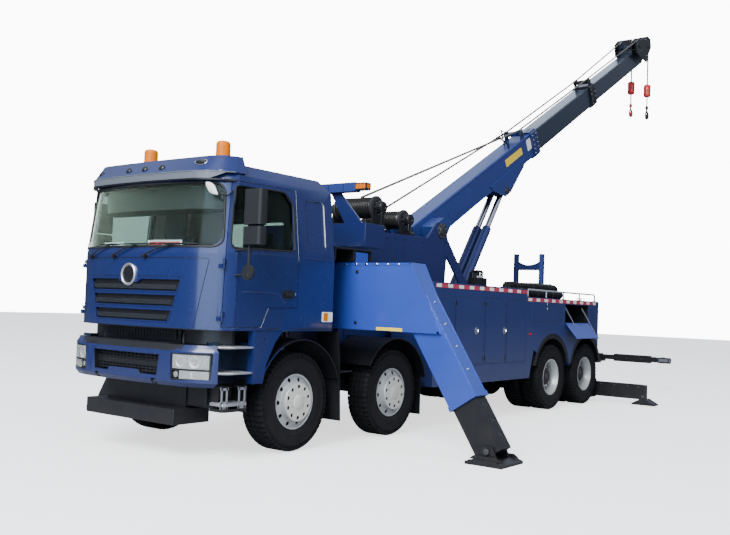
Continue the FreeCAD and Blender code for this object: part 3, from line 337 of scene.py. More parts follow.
def finish(name, colour, roughness, drift, grain, grain_bump, dust, dust_top, colour_of=None, bump_of=None,
           rough_spread=0.12, **fixed):
    """A layered surface: colour drift, grain, low dust and a fine bump, with extras passed as functions."""
    m = Mat(name, **fixed)
    slow = m.noise(1.3, 4.0)
    fine = m.noise(grain, 2.0)
    base = m.mix(slow, [c * (1 - drift) for c in colour], [min(1.0, c * (1 + drift)) for c in colour])
    if colour_of:
        base = colour_of(m, base)
    cloud = m.noise(5.0, 6.0, 0.7)
    low = m.z.span(0.25, dust_top, 1.0, 0.0).power(1.6)
    film = (low * cloud.span(0.3, 0.75)) * dust
    base = m.mix(film, base, DUST)
    rough = (slow - 0.5) * rough_spread + roughness + film * (0.8 - roughness)
    height = fine * grain_bump * 1000
    if bump_of:
        height = height + bump_of(m)
    return m.out(Base_Color=base, Roughness=rough, Normal=m.bump(height, 0.001))


def flakes(strength):
    """Sparkle of metallic paint: single grains a little lighter or darker."""
    def colour_of(m, base):
        grain = m.node("ShaderNodeTexVoronoi", 1, None, {"Vector": m.position, "Scale": 900.0})
        level = m.node("ShaderNodeSeparateColor", 0, None, {0: grain})
        return m.mix(level * strength, base, (0.35, 0.42, 0.75))
    return colour_of


def rope_twist(m):
    """Slanting strands of a rope that runs up the boom."""
    along = m.z * 0.485 - m.x * 0.875
    return ((along * 34.0 + m.y * 60.0) * TURN).sine() * 0.9


def tread_plate(m):
    """Raised lozenges of chequer plate."""
    u = (m.x + m.y) * 62.0
    v = (m.x - m.y) * 62.0
    a = (u.mod(2.0) - 1.0) * (v.mod(2.0) - 1.0)
    return (a.maximum(0.0)).power(0.6) * 1.6


def weave(m):
    return (m.x * 1800.0).sine() * (m.z * 1800.0).sine() * 0.25


def ribs(m):
    return (m.y * 520.0).sine() * 0.5


# %% Paints: name, colour, roughness, drift, grain, its bump, dust, height the dust reaches
def body_paint(name, colour, roughness, drift, dust, dust_top, sparkle=0.02, coat=0.6):
    return finish(name, colour, roughness, drift, 60.0, 0.00002, dust, dust_top, flakes(sparkle), Metallic=0.10,
                  Coat_Weight=coat, Coat_Roughness=0.10, Specular_IOR_Level=0.35)


NAVY = body_paint("cab_blue", (0.008, 0.017, 0.092), 0.28, 0.10, 0.2, 1.3)
BLUE = body_paint("body_blue", (0.008, 0.016, 0.092), 0.34, 0.10, 0.35, 1.4)
BODY = body_paint("locker_blue", (0.016, 0.030, 0.130), 0.34, 0.10, 0.35, 1.4)
BRIGHT = body_paint("outrigger_blue", (0.027, 0.066, 0.36), 0.32, 0.08, 0.25, 1.2)
MEDIUM = body_paint("boom_base_blue", (0.018, 0.037, 0.170), 0.46, 0.10, 0.1, 1.2, coat=0.15)
SLATE = body_paint("boom_slate", (0.0045, 0.013, 0.031), 0.33, 0.12, 0.1, 1.2, 0.015)
BLACK = finish("black_paint", (0.007, 0.007, 0.009), 0.42, 0.3, 220.0, 0.00005, 0.10, 1.2,
               Specular_IOR_Level=0.35, Coat_Weight=0.2, Coat_Roughness=0.16)
DARK_STEEL = finish("dark_steel", (0.045, 0.045, 0.048), 0.55, 0.3, 180.0, 0.0001, 0.4, 1.3, Metallic=0.6)
PLASTIC = finish("black_plastic", (0.010, 0.011, 0.013), 0.55, 0.15, 900.0, 0.00006, 0.1, 1.4,
                 Specular_IOR_Level=0.35)
GREY = finish("grey_plastic", (0.105, 0.118, 0.14), 0.5, 0.1, 900.0, 0.00005, 0.2, 1.3)
VENT = finish("vent_grey", (0.034, 0.038, 0.046), 0.42, 0.1, 900.0, 0.00005, 0.1, 1.3)
CREAM = finish("wheel_cream", (0.64, 0.62, 0.55), 0.38, 0.08, 120.0, 0.00005, 0.3, 0.9)
SILVER = finish("wheel_silver", (0.52, 0.53, 0.52), 0.36, 0.12, 120.0, 0.00006, 0.3, 0.9, Metallic=0.35)
ALUMINIUM = finish("aluminium", (0.62, 0.63, 0.65), 0.34, 0.08, 240.0, 0.00005, 0.2, 1.0, Metallic=0.9)
CHROME = finish("chrome", (0.82, 0.82, 0.84), 0.09, 0.03, 300.0, 0.00001, 0.1, 1.0, Metallic=1.0, rough_spread=0.04)
FADED_RED = finish("stripe_red", (0.42, 0.035, 0.07), 0.5, 0.15, 100.0, 0.00004, 0.3, 1.9)
RED = finish("signal_red", (0.60, 0.012, 0.02), 0.42, 0.12, 100.0, 0.00004, 0.2, 1.2, Coat_Weight=0.4)
WHITE = finish("white_enamel", (0.80, 0.80, 0.78), 0.4, 0.05, 100.0, 0.00003, 0.1, 1.2)
YELLOW = finish("label_yellow", (0.86, 0.60, 0.05), 0.45, 0.06, 100.0, 0.00002, 0.1, 1.0)
ORANGE = finish("orange_lens", (0.62, 0.15, 0.0), 0.35, 0.05, 40.0, 0.00003, 0.0, 1.0, Specular_IOR_Level=0.2)
RED_LENS = finish("red_lens", (0.62, 0.01, 0.015), 0.15, 0.05, 40.0, 0.00003, 0.1, 1.0,
                  Transmission_Weight=0.1, Coat_Weight=0.5)
MIRROR = finish("mirror_glass", (0.80, 0.82, 0.84), 0.03, 0.02, 20.0, 0.000003, 0.0, 1.0, Metallic=1.0,
                rough_spread=0.02)
RUBBER = finish("tyre_rubber", (0.0055, 0.0055, 0.0065), 0.72, 0.25, 300.0, 0.00012, 0.08, 0.7,
                Specular_IOR_Level=0.25)
ROPE = finish("wire_rope", (0.15, 0.14, 0.11), 0.5, 0.3, 500.0, 0.0001, 0.0, 1.0, bump_of=rope_twist, Metallic=0.3)
WOUND = finish("wound_rope", (0.016, 0.0155, 0.014), 0.3, 0.3, 500.0, 0.0001, 0.0, 1.0, Metallic=0.3)
CHEQUER = finish("chequer_plate", (0.055, 0.07, 0.16), 0.42, 0.15, 200.0, 0.00004, 0.3, 2.2, bump_of=tread_plate,
                 Metallic=0.5)
CLOTH = finish("seat_cloth", (0.10, 0.105, 0.12), 0.9, 0.12, 700.0, 0.0002, 0.0, 1.0, bump_of=weave)
TRIM = finish("cabin_trim", (0.16, 0.155, 0.15), 0.7, 0.1, 800.0, 0.00008, 0.0, 1.0)
CREAM_TRIM = finish("cabin_cream", (0.62, 0.60, 0.54), 0.7, 0.08, 800.0, 0.00008, 0.0, 1.0)
LENS = finish("clear_lens", (0.86, 0.88, 0.86), 0.12, 0.03, 60.0, 0.00002, 0.05, 1.0, bump_of=ribs,
              Transmission_Weight=0.75, Coat_Weight=0.5)
TINTED, GLASS = (finish(name, colour, 0.03, 0.02, 20.0, 0.000004, 0.0, 1.0, rough_spread=0.02,
                        Transmission_Weight=1.0, IOR=1.2)
                 for name, colour in (("tinted_glass", (0.10, 0.13, 0.14)), ("glass", (0.70, 0.80, 0.80))))
print(len(bpy.data.materials), "materials")

# %% [markdown]
# ## Softened CAD nodes
# A CAD node's mesh is loose triangles. A copy is merged and its faces are given their materials
# by place. Flat faces are joined again, and hard edges are rounded a little, so that they catch
# the light. The copy stands in for the node.

# %% Softening
def truck(point):
    """A point of the row frame back in truck millimetres."""
    return Vector(((point[0] - AXLE_1) / MM, point[1] / MM, point[2] / MM))


# a pin's node, the two coordinates of its middle line, what they measure, and its radius
PINS = {"boom_base": (-4000, 2770, "xz", 60), "lift_barrels": (-4900, 1445, "xz", 45),
        "underlift_boom": (-8520, 640, "xz", 40), "underlift_arm": (-11550, 0, "xy", 50)}
PIN_PLAY = 1.2


def slim_pin(bm, node):
    """Makes a pin a little thinner, so that its facets stay clear of the bore's as it turns."""
    a, b, plane, radius = PINS[node]
    for v in bm.verts:
        c = truck(v.co)
        away = Vector((c.x - a, getattr(c, plane[1]) - b))
        if abs(away.length - radius) < 0.2:
            away *= (radius - PIN_PLAY) / radius
            setattr(c, plane[1], b + away.y)
            v.co = at(a + away.x, c.y, c.z)


def merged(node, recolour):
    mesh = bpy.data.meshes.new("merged")
    bm = bmesh.new()
    bm.from_mesh(frame["nodes"][node].data)
    if node in PINS:
        slim_pin(bm, node)
    bmesh.ops.remove_doubles(bm, verts=bm.verts, dist=0.00002)
    bmesh.ops.dissolve_degenerate(bm, edges=bm.edges, dist=0.00002)
    bmesh.ops.recalc_face_normals(bm, faces=bm.faces)
    for f in bm.faces:
        f.material_index = int(recolour(truck(f.calc_center_median()), f.normal)) if recolour else 0
    bmesh.ops.dissolve_limit(bm, angle_limit=math.radians(0.4), verts=bm.verts, edges=bm.edges,
                             delimit={"NORMAL", "MATERIAL"})
    bmesh.ops.triangulate(bm, faces=[f for f in bm.faces if len(f.verts) > 6])
    bm.to_mesh(mesh)
    bm.free()
    return mesh


def soften(node, materials, width, recolour=None, segments=2):
    """Rounded, painted stand-in for one CAD node. recolour(place, normal) picks a face's material."""
    mesh = merged(node, recolour)
    obj = bpy.data.objects.new(f"{node}_skin", mesh)
    bpy.context.scene.collection.objects.link(obj)
    for m in materials if isinstance(materials, tuple) else (materials,):
        mesh.materials.append(m)
    bevel = obj.modifiers.new("round", "BEVEL")
    bevel.width, bevel.segments, bevel.limit_method = width * MM, segments, "ANGLE"
    bevel.angle_limit, bevel.miter_outer = math.radians(34), "MITER_ARC"
    for f in mesh.polygons:
        f.use_smooth = True
    mesh.set_sharp_from_angle(angle=math.radians(34))
    even = obj.modifiers.new("even", "WEIGHTED_NORMAL")
    even.mode, even.keep_sharp = "FACE_AREA_WITH_ANGLE", True
    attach(obj, frame["nodes"][node]["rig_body"])
    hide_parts(node)


# %% [markdown]
# The cab and the doors are painted outside and lined inside, but each is one node. Cutting them
# apart would open their edges, so every face picks its material from where it lies and which way it
# looks.

# %% Which part of a node gets which paint
def cab_face(c, n):
    """0 paint, 1 lining inside the cab. The grille's slots keep the paint."""
    looks_in = (c - Vector((400, 0, 2050))).dot(n) < 0
    slots = c.x > 1100 and c.z < 2000
    return looks_in and not slots and abs(c.y) < 1215 and -445 < c.x < 1330 and 1330 < c.z < 2950


def door_face(c, n):
    """0 paint, 1 lining, 2 black mirrors and handle."""
    s = math.copysign(1, c.y)
    arm = c.x > 860 and abs(c.y) > 1165 and min(abs(c.z - 1850), abs(c.z - 2100)) < 13 and abs(n.x) + abs(n.z) > 0.3
    handle = abs(c.y) > 1246 and 200 < c.x < 345 and 1660 < c.z < 1705
    mirror = abs(c.y) > 1262 or (c.x > 600 and c.z > 1800 and abs(c.y) > 1255)
    if arm or handle or mirror:
        return 2
    return n.y * s < -0.5 and abs(c.y) < 1205


def bumper_face(c, n):
    """0 paint, 1 black top deck, opening and inside."""
    opening = abs(c.y) < 532 and 834 < c.z < 1034 and (abs(n.x) < 0.7 or 880 < c.z < 990)
    return c.z > 1100 and abs(c.y) < 820 or n.x < -0.3 or opening


def wedge_face(c, n):
    """0 painted wedge before the first wheel, 1 black liners."""
    return not (abs(c.y) > 1148 and 300 < c.x < 760 and n.z < 0.95 and (c.x > 640 or abs(n.y) > 0.5))


def body_face(c, n):
    """0 paint, 1 chequer plate deck, 2 black inside the open locker."""
    if -7765 < c.x < -6775 and 1435 < c.z < 1757 and abs(c.y) < 1244:
        return 2
    return n.z > 0.9 and c.z > 1500


# node, paint, edge radius, way to tell the faces apart
SKINS = [
    ("cab_shell", (NAVY, CREAM_TRIM), 3.0, cab_face),
    ("visor", (NAVY, GREY), 4.0, lambda c, n: c.z < 2886),
    ("grille", BLACK, 2.0, None),
    ("bumper", (NAVY, BLACK), 4.0, bumper_face),
    ("mudguards", (NAVY, BLACK), 2.0, wedge_face),
    ("rear_body", (BODY, CHEQUER, BLACK), 2.5, body_face),
    ("locker_hatch", BRIGHT, 1.5, None),
    ("pedestal", (BLUE, BLACK), 3.0, lambda c, n: c.x > -1235 and c.z < 2300),
    ("boom_rest", (BLUE, MEDIUM), 3.0, lambda c, n: c.y > 220),
    ("rear_sleeve", BLACK, 3.0, None),
    ("chassis_frame", BLACK, 2.0, None),
    ("ballast", BLACK, 8.0, None),
    ("engine", DARK_STEEL, 10.0, None),
    ("axles", BLACK, 4.0, None),
    ("light_bar", (MEDIUM, BLUE, PLASTIC), 5.0, lambda c, n: 2 if abs(c.y) > 905 and c.z > 2990 else c.z < 2990),
    ("underlift_boom", BLACK, 4.0, None),
    ("underlift_arm", BLACK, 4.0, None),
    ("crossbar", (BLACK, GREY), 4.0, lambda c, n: abs(c.y) > 1301),
    ("lift_barrels", (BLUE, BLACK), 3.0, lambda c, n: c.z < 1545),
    ("lift_rods", CHROME, 2.0, None),
]
for side in SIDES:
    SKINS += [(f"door_{side}", (NAVY, TRIM, PLASTIC), 3.0, door_face),
              (f"front_outrigger_{side}", BRIGHT, 3.0, None)]
    SKINS += [(f"{name}_{side}", BLACK, 4.0, None)
              for name in ("front_leg", "rear_outrigger", "knuckle_1", "knuckle_2")]
for row in SKINS:
    soften(*row)


# %% [markdown]
# The boom is three box beams that slide in one another, the outer two with a collar of thicker
# plate. Places are measured along and above its middle line, so that its lean is worked out once.

# %% Boom sections
BOOM_X, BOOM_Z, BOOM_LEAN = -4000, 2770, math.radians(29)
ALONG = Vector((-math.cos(BOOM_LEAN), 0, math.sin(BOOM_LEAN)))
ABOVE = Vector((math.sin(BOOM_LEAN), 0, math.cos(BOOM_LEAN)))


def on_boom(s, o, y):
    """A place s along the boom from its pivot, o above its middle line, y across."""
    p = Vector((BOOM_X, y, BOOM_Z)) + ALONG * s + ABOVE * o
    return (p.x, p.y, p.z)


def boom_face(collar, tall, near_collar):
    """0 paint, 1 the end collar: past a station, or above a height near it."""
    def face(c, n):
        d = Vector((c.x - BOOM_X, 0, c.z - BOOM_Z))
        s, o = d.dot(ALONG), d.dot(ABOVE)
        return s > collar or (o > tall and s > near_collar)
    return face


def tip_face(c, n):
    s = Vector((c.x - BOOM_X, 0, c.z - BOOM_Z)).dot(ALONG)
    return abs(c.y) > 143 and s > 9990 or s > 10560


soften("boom_base", (MEDIUM, BLUE), 4.0, boom_face(3975, 225, 3600))
soften("boom_middle", (SLATE, BLACK), 4.0, boom_face(7075, 206, 7000))
soften("boom_tip", (SLATE, BLACK), 3.0, tip_face)

# %% [markdown]
# Panes get the smallest rounding, in one step, because a wide rounded rim shows as a bright line.

# %% Glass
soften("cab_glass", GLASS, 0.6, None, 1)
for side in SIDES:
    soften(f"door_glass_{side}", TINTED, 0.6, None, 1)

# %% [markdown]
# ## Repeats by geometry nodes
# Two node groups copy a small shape: one round an axle, one along a line. Each takes its count,
# spacing and seed as inputs, makes the copies real, and gives them their material.

# %% Node groups
def repeat_group(name, along_line):
    group = bpy.data.node_groups.new(name, "GeometryNodeTree")
    face = group.interface
    for label, kind in (("Shape", "Geometry"), ("Count", "Int"), ("Step", "Vector"), ("Jitter", "Float"),
                        ("Seed", "Int"), ("Material", "Material")):
        face.new_socket(label, in_out="INPUT", socket_type=f"NodeSocket{kind}")
    face.new_socket("Geometry", in_out="OUTPUT", socket_type="NodeSocketGeometry")
    new, link = group.nodes.new, group.links.new
    entry, leave = new("NodeGroupInput"), new("NodeGroupOutput")
    line, copies = new("GeometryNodeMeshLine"), new("GeometryNodeInstanceOnPoints")
    link(entry.outputs["Count"], line.inputs["Count"])
    link(line.outputs["Mesh"], copies.inputs["Points"])
    link(entry.outputs["Shape"], copies.inputs["Instance"])
    scatter, spread = new("FunctionNodeRandomValue"), new("ShaderNodeMath")
    scatter.data_type, spread.operation = "FLOAT", "MULTIPLY"
    link(entry.outputs["Seed"], scatter.inputs["Seed"])
    link(scatter.outputs[1], spread.inputs[0])
    link(entry.outputs["Jitter"], spread.inputs[1])
    turn = new("FunctionNodeAxisAngleToRotation")
    turn.inputs["Axis"].default_value = LEFT
    if along_line:
        link(entry.outputs["Step"], line.inputs["Offset"])
        link(spread.outputs[0], turn.inputs["Angle"])
    else:
        line.inputs["Offset"].default_value = (0, 0, 0)
        index, share, angle = new("GeometryNodeInputIndex"), new("ShaderNodeMath"), new("ShaderNodeMath")
        share.operation, angle.operation = "DIVIDE", "MULTIPLY_ADD"
        link(index.outputs[0], share.inputs[0])
        link(entry.outputs["Count"], share.inputs[1])
        angle.inputs[1].default_value = TURN
        link(share.outputs[0], angle.inputs[0])
        link(spread.outputs[0], angle.inputs[2])
        link(angle.outputs[0], turn.inputs["Angle"])
    link(turn.outputs[0], copies.inputs["Rotation"])
    real, painted = new("GeometryNodeRealizeInstances"), new("GeometryNodeSetMaterial")
    link(copies.outputs[0], real.inputs[0])
    link(real.outputs[0], painted.inputs["Geometry"])
    link(entry.outputs["Material"], painted.inputs["Material"])
    link(painted.outputs[0], leave.inputs[0])
    return group


ROUND_GROUP = repeat_group("copies_round_an_axle", False)
LINE_GROUP = repeat_group("copies_along_a_line", True)


def repeated(shape, group, count, material, step=(0, 0, 0), jitter=0.0, seed=1):
    """The shape's copies as one mesh. Shapes are drawn round the origin, in metres."""
    obj = bpy.data.objects.new("one_copy", shape)
    bpy.context.scene.collection.objects.link(obj)
    modifier = obj.modifiers.new("repeat", "NODES")
    modifier.node_group = group
    given = {"Count": count, "Step": step, "Jitter": jitter, "Seed": seed, "Material": material}
    for item in group.interface.items_tree:
        if item.in_out == "INPUT" and item.name in given:
            modifier[item.identifier] = given[item.name]
    graph = bpy.context.evaluated_depsgraph_get()
    mesh = bpy.data.meshes.new_from_object(obj.evaluated_get(graph))
    obj.modifiers.clear()
    bpy.data.objects.remove(obj)
    return mesh


def as_mesh(bm):
    mesh = bpy.data.meshes.new("round_part")
    bm.to_mesh(mesh)
    bm.free()
    return mesh


def small(build):
    """A loose shape drawn round the origin: build(form) fills it."""
    form = Form("shape", None)
    build(form)
    form.bm.transform(Matrix.Translation(-at(0, 0, 0)))
    return as_mesh(form.bm)


def copies(form, shape, start, step, count, material=0):
    """Copies along a line, in millimetres, joined into the form."""
    mesh = repeated(shape, LINE_GROUP, count, form.materials[material], Vector(step) * MM)
    form.mesh(mesh, material, Matrix.Translation(at(*start)), smooth=False)


HEX = [(math.cos(math.radians(a)), math.sin(math.radians(a))) for a in range(0, 360, 60)]


def bolt(radius, height, axis="y"):
    """Hexagon head on a washer, standing along an axis."""
    def build(f):
        f.prism([(c * radius, s * radius) for c, s in HEX], axis, 0, height, bevel=1.0)
        way = {"x": FORWARD, "y": LEFT, "z": UP}[axis]
        f.turn([(0, radius * 1.25), (height * 0.22, radius * 1.25)], (0, 0, 0), way, steps=10)
    return small(build)


# %% [markdown]
# ## Wheels
# One steered wheel and one twin wheel are drawn round the origin with +Y outwards, and then placed.
# The tread is one pitch of blocks, copied round the tyre.

# %% Tyre and tread
TREAD_TOP, TREAD_LOW = 534.5, 519
PITCHES, LUG_COUNT = 54, 108
HUB_HEIGHT = 535


def lathe(profile, steps=60, closed=True):
    """Revolve (y, radius) pairs about the Y axis; a closed profile makes a ring."""
    rings = turned(profile, Vector(), Vector(LEFT), Vector(UP), Vector(FORWARD), steps)
    return as_mesh(skin(bmesh.new(), rings, closed, caps=False))


def carcass():
    half = [(112, 287), (124, 292), (131, 300), (133, 312), (140, 322), (147, 345), (148.5, 352), (150.5, 356),
            (150.5, 362), (149, 366), (151, 400), (150.5, 430), (147, 452), (149, 456), (149, 464), (144, 468),
            (139, 486), (126, 505), (112, 514), (96, TREAD_LOW)]
    return lathe(half + [(-y, r) for y, r in half[::-1]] + [(-106, 282), (106, 282)], 72)


def tread_pitch(f):
    """Five ribs of blocks: two lugged shoulders, two zigzag ribs and a middle one."""
    arc = TURN * TREAD_TOP / PITCHES
    for y0, y1, share, lean in ((-143, -92, 0.80, 0), (-84, -36, 0.86, 5), (-28, 28, 0.84, -5), (36, 84, 0.86, 5),
                                (92, 143, 0.80, 0)):
        half, middle = arc * share / 2, (y0 + y1) / 2
        outline = [(-half, y0), (-half + lean, middle), (-half, y1), (half, y1), (half + lean, middle), (half, y0)]
        rings = []
        for level in (TREAD_LOW - 8, TREAD_TOP):
            rings.append([])
            for u, y in outline:
                t, r = u / TREAD_TOP, level - (14 if abs(y) == 143 else 0)
                rings[-1].append(at(0, 0, 0) + Vector((r * math.sin(t), y, r * math.cos(t))) * MM)
        f.solid(rings, 0)


def side_lugs(f):
    """Small ribs on the tyre's shoulder, one pitch of them."""
    for s in (1, -1):
        f.box((-4, 4), (s * 146, s * 151.5), (470, 488), bevel=0)


CARCASS = carcass()
TREAD = repeated(small(tread_pitch), ROUND_GROUP, PITCHES, RUBBER, jitter=0.012, seed=4)
LUGS = repeated(small(side_lugs), ROUND_GROUP, LUG_COUNT, RUBBER)
print("one tyre:", sum(len(p.vertices) - 2 for m in (CARCASS, TREAD, LUGS) for p in m.polygons), "triangles")


# %% [markdown]
# A steel rim is a barrel, a dished disc with hand holes, and a hub with nuts. Cutting the holes
# with booleans can leave ragged faces. Here each hole is a patch with a round edge, and the patches
# close into the disc.

# %% Rims with hand holes, nuts and hubs
def bored_disc(outer, inner, count, hole, thick, turn_by=0.0):
    """A cone between two (y, radius) rings, with round holes through it."""
    bm = bmesh.new()
    (y0, r0), (y1, r1) = outer, inner
    mid, half_r = (r0 + r1) / 2, (r0 - r1) / 2
    half_angle = math.pi / count
    steps = (-1, -0.5, 0, 0.5, 1)
    around = ([(u, -1) for u in steps] + [(1, v) for v in steps[1:]] + [(u, 1) for u in steps[3::-1]]
              + [(-1, v) for v in steps[3:0:-1]])

    def place(u, v, k):
        r = mid + v * half_r
        t = turn_by + (2 * k + 1 + u) * half_angle
        y = y1 + (y0 - y1) * (r - r1) / (r0 - r1)
        return Vector((r * math.sin(t), y, r * math.cos(t))) * MM

    for k in range(count):
        edge = [place(u, v, k) for u, v in around]
        bore = [place(math.cos(a) * hole / (mid * half_angle), math.sin(a) * hole / half_r, k)
                for a in (math.atan2(v, u) for u, v in around)]
        skin(bm, [edge, bore], caps=False)
    bmesh.ops.remove_doubles(bm, verts=bm.verts, dist=0.0003)
    bmesh.ops.recalc_face_normals(bm, faces=bm.faces)
    bmesh.ops.solidify(bm, geom=bm.faces[:], thickness=thick * MM)
    return as_mesh(bm)


def ring_of(shape, y, radius, count, material, seed):
    """Bolts or nuts round the axle at one radius."""
    shape.transform(Matrix.Translation((0, y * MM, radius * MM)))
    return repeated(shape, ROUND_GROUP, count, material, seed=seed)


def steered_rim():
    """A cone with hand holes, a wide drum, and a flat plate with ten recessed nuts; y is outwards."""
    barrel = [(-136, 284), (-136, 296), (-131, 298), (-128, 292), (-100, 276), (-60, 258), (-20, 252), (20, 268),
              (60, 278), (100, 284), (128, 292), (131, 298), (137, 297), (138, 290), (132, 282), (100, 274),
              (60, 268), (20, 258), (-20, 242), (-60, 248), (-104, 266), (-131, 280)]
    drum = [(112, 217), (121, 217), (126, 212), (178, 209), (186, 207), (190, 202), (183, 197), (118, 205)]
    # painted shade: a black cone and a black ring stand behind the two sets of hand holes, so that the holes look dark
    painted_shade_cone = [(78, 266), (82, 266), (96, 200), (92, 200)]
    painted_shade_ring = [(160, 203), (162, 203), (162, 126), (160, 126)]
    cap = [(166, 132), (190, 132), (191, 80), (196, 74), (201, 60), (202, 0)]
    return [(lathe(barrel, 72), 1), (bored_disc((104, 274), (120, 212), 10, 24, 9), 1), (lathe(drum, 72), 1),
            (bored_disc((190, 204), (190.2, 130), 10, 22, 8, -math.pi / 10), 2), (lathe(painted_shade_cone), 0),
            (lathe(painted_shade_ring), 0), (lathe(cap, 48, False), 2), (ring_of(bolt(14, 10), 162, 168, 10, DARK_STEEL, 3), 4),
            (ring_of(bolt(6, 4), 190, 96, 6, CHROME, 5), 3)]


def twin_rim():
    """A deep dish: the bored cone lies far in, with nuts round a dark hub."""
    barrel = [(-136, 284), (-136, 296), (-131, 298), (-128, 292), (-100, 276), (-60, 258), (0, 248), (60, 258),
              (100, 276), (128, 292), (131, 298), (137, 297), (138, 290), (134, 280), (104, 266), (60, 248),
              (0, 238), (-60, 248), (-104, 266), (-131, 280)]
    plate = [(-4, 196), (8, 200), (12, 192), (12, 120), (-4, 120)]
    hub = [(-4, 122), (54, 122), (62, 115), (62, 78), (66, 74), (80, 70), (88, 60), (88, 0)]
    return [(lathe(barrel, 72), 1), (bored_disc((-70, 252), (6, 197), 10, 21, 9), 4), (lathe(plate), 4),
            (lathe(hub, 40, False), 4), (ring_of(bolt(16, 26), 11, 156, 10, CHROME, 3), 3),
            (ring_of(bolt(8, 9), 62, 92, 8, DARK_STEEL, 5), 4)]


def inner_rim():
    """What shows of the inner wheel of a pair: barrel, web and the hub that reaches through."""
    barrel = [(-136, 284), (-131, 298), (-100, 276), (0, 250), (100, 276), (131, 298), (136, 284), (100, 262),
              (0, 238), (-100, 262)]
    web = [(50, 250), (62, 250), (112, 180), (112, 60), (98, 60), (98, 172)]
    hub = [(-60, 46), (-60, 122), (150, 122), (150, 168), (290, 168), (290, 46)]
    return [(lathe(barrel), 1), (lathe(web), 1), (lathe(hub, 40), 1)]


STEER_RIM, REAR_RIM, INNER_RIM = steered_rim(), twin_rim(), inner_rim()


def wheel(number, side, x, y_centres, outer_rim):
    """A wheel, or a pair of them, built as one object on its rolling body."""
    s = SIDES[side]
    form = Form(f"dressed_wheel_{number}_{side}", f"wheel_{number}_{side}", RUBBER, SILVER, CREAM, CHROME, DARK_STEEL)
    for i, y in enumerate(y_centres):
        flip = Matrix.Rotation(math.pi, 4, "Z") if s < 0 else Matrix.Identity(4)
        place = Matrix.Translation(at(x, s * y, HUB_HEIGHT)) @ flip @ Matrix.Rotation(0.37 * i + x * 0.001, 4, "Y")
        form.mesh(CARCASS, 0, place)
        form.mesh(TREAD, 0, place, smooth=False)
        form.mesh(LUGS, 0, place, smooth=False)
        outermost = i == len(y_centres) - 1
        for mesh, material in outer_rim if outermost else INNER_RIM:
            form.mesh(mesh, material, place, smooth=len(mesh.polygons) > 400 or not outermost)
    form.done(replaces=(f"tyre_{number}_{side}", f"rim_{number}_{side}"))


for number, x in enumerate((0, -1800, -6310, -7710), 1):
    for side in SIDES:
        if number > 2:
            wheel(number, side, x, (745, 1090), REAR_RIM)
        else:
            wheel(number, side, x, (1020,), STEER_RIM)

# %% [markdown]
# ## The cab's outside
# The cab's nose is bowed in plan and leans in above its belt line. `on_nose` puts a point on that
# surface, and strips and frames are then bent along it.

# %% The bowed nose
def circle(a, b, c):
    """Centre and radius of the circle through three plan points, as complex numbers."""
    a, b, c = complex(*a), complex(*b), complex(*c)
    w = (c - a) / (b - a)
    centre = a - (a - b) * (w - abs(w) ** 2) / 2j / w.imag
    return centre, abs(a - centre)


class Nose:
    """Half an outline in plan: a straight side, a corner arc through three points, a bowed front."""
    def __init__(self, side, corner, front):
        self.side, self.corner = side, corner
        self.bow = circle(corner[2], (front, 0), (corner[2][0], -corner[2][1]))
        self.bend = circle(*corner)

    def x(self, y, grow=0.0):
        c, r = self.bow if abs(y) <= self.corner[2][1] else self.bend
        return c.real + math.sqrt(max((r + grow) ** 2 - (abs(y) - c.imag) ** 2, 0.0))

    def y(self, x, grow=0.0):
        """Half width at a station x on the side."""
        (sx, sy), (kx, ky) = self.side, self.corner[0]
        if x <= kx:
            return sy + grow + (ky - sy) * max(0.0, x - sx) / (kx - sx)
        c, r = self.bend
        return c.imag + math.sqrt(max((r + grow) ** 2 - (x - c.real) ** 2, 0.0))


CAB = Nose((300, 1245), [(1000, 1200), (1195, 985), (1305, 660)], 1370)
BUMPER = Nose((1000, 1238), [(1050, 1235), (1255, 1005), (1345, 720)], 1390)
VISOR = Nose((880, 1150), [(985, 1132), (1150, 992), (1252, 805)], 1300)


def lean(z):
    """How far the cab's skin stands in at height z."""
    return -92 * max(0.0, z - 2060) / 800 if z < 2860 else -92 - 93 * (z - 2860) / 125


def on_nose(y, z, out=0.0):
    return Vector((CAB.x(y, lean(z) + out), y, z))


def on_side(x, z, s, out=0.0):
    return x, s * CAB.y(x, lean(z) + out), z


def strip(form, nose, y0, y1, z0, z1, inner, outer, material=0, steps=24, bevel=1.5, ends=0.0):
    """A bar bent along a nose between y0 and y1; ends slants its two ends."""
    rings = []
    for k in range(steps + 1):
        rings.append([])
        for z, grow in ((z0, inner), (z0, outer), (z1, outer), (z1, inner)):
            slant = ends if z == z1 else 0
            y = (y0 - slant) + (y1 - y0 + 2 * slant) * k / steps
            rings[-1].append(at(nose.x(y, grow), y, z))
    form.solid(rings, material, bevel)


# %% [markdown]
# The grille is three slots with a painted rim and dark slats, and a round ring over the top one.
# Straight bars would leave the bowed nose, so each bar is bent along it.

# %% Grille, badge place and seams
BADGE_Z = 1834
front = Form("front_trim", "root", BLUE, BLACK, ALUMINIUM, PLASTIC, VENT)
for z0, z1, low, high, inner in ((1366, 1478, 582, 622, 2), (1518, 1632, 630, 672, 2), (1670, 1790, 682, 722, 190)):
    strip(front, CAB, -low - 6, low + 6, z0 - 9, z0 + 3, -10, 5, 0)
    strip(front, CAB, -low + 12, low - 12, z0 + 16, z0 + 64, -25, -10, 3, ends=12)
    for z in range(z0 + 22, z0 + 59, 9):
        strip(front, CAB, -low + 20, low - 20, z, z + 4, -24, -2, 4, bevel=0)
    for s in (1, -1):
        front.tube([on_nose(s * low, z0, 2), on_nose(s * high, z1, 2)], 6, 0, 6)
        strip(front, CAB, s * inner, s * high, z1 - 2, z1 + 8, -8, 5, 0)
ring_x = CAB.x(0)
front.turn([(0, 60), (0, 118), (22, 118), (30, 110), (30, 100), (22, 92), (16, 90), (18, 50), (22, 0)],
           (ring_x - 8, 0, BADGE_Z), FORWARD, 2, 48)
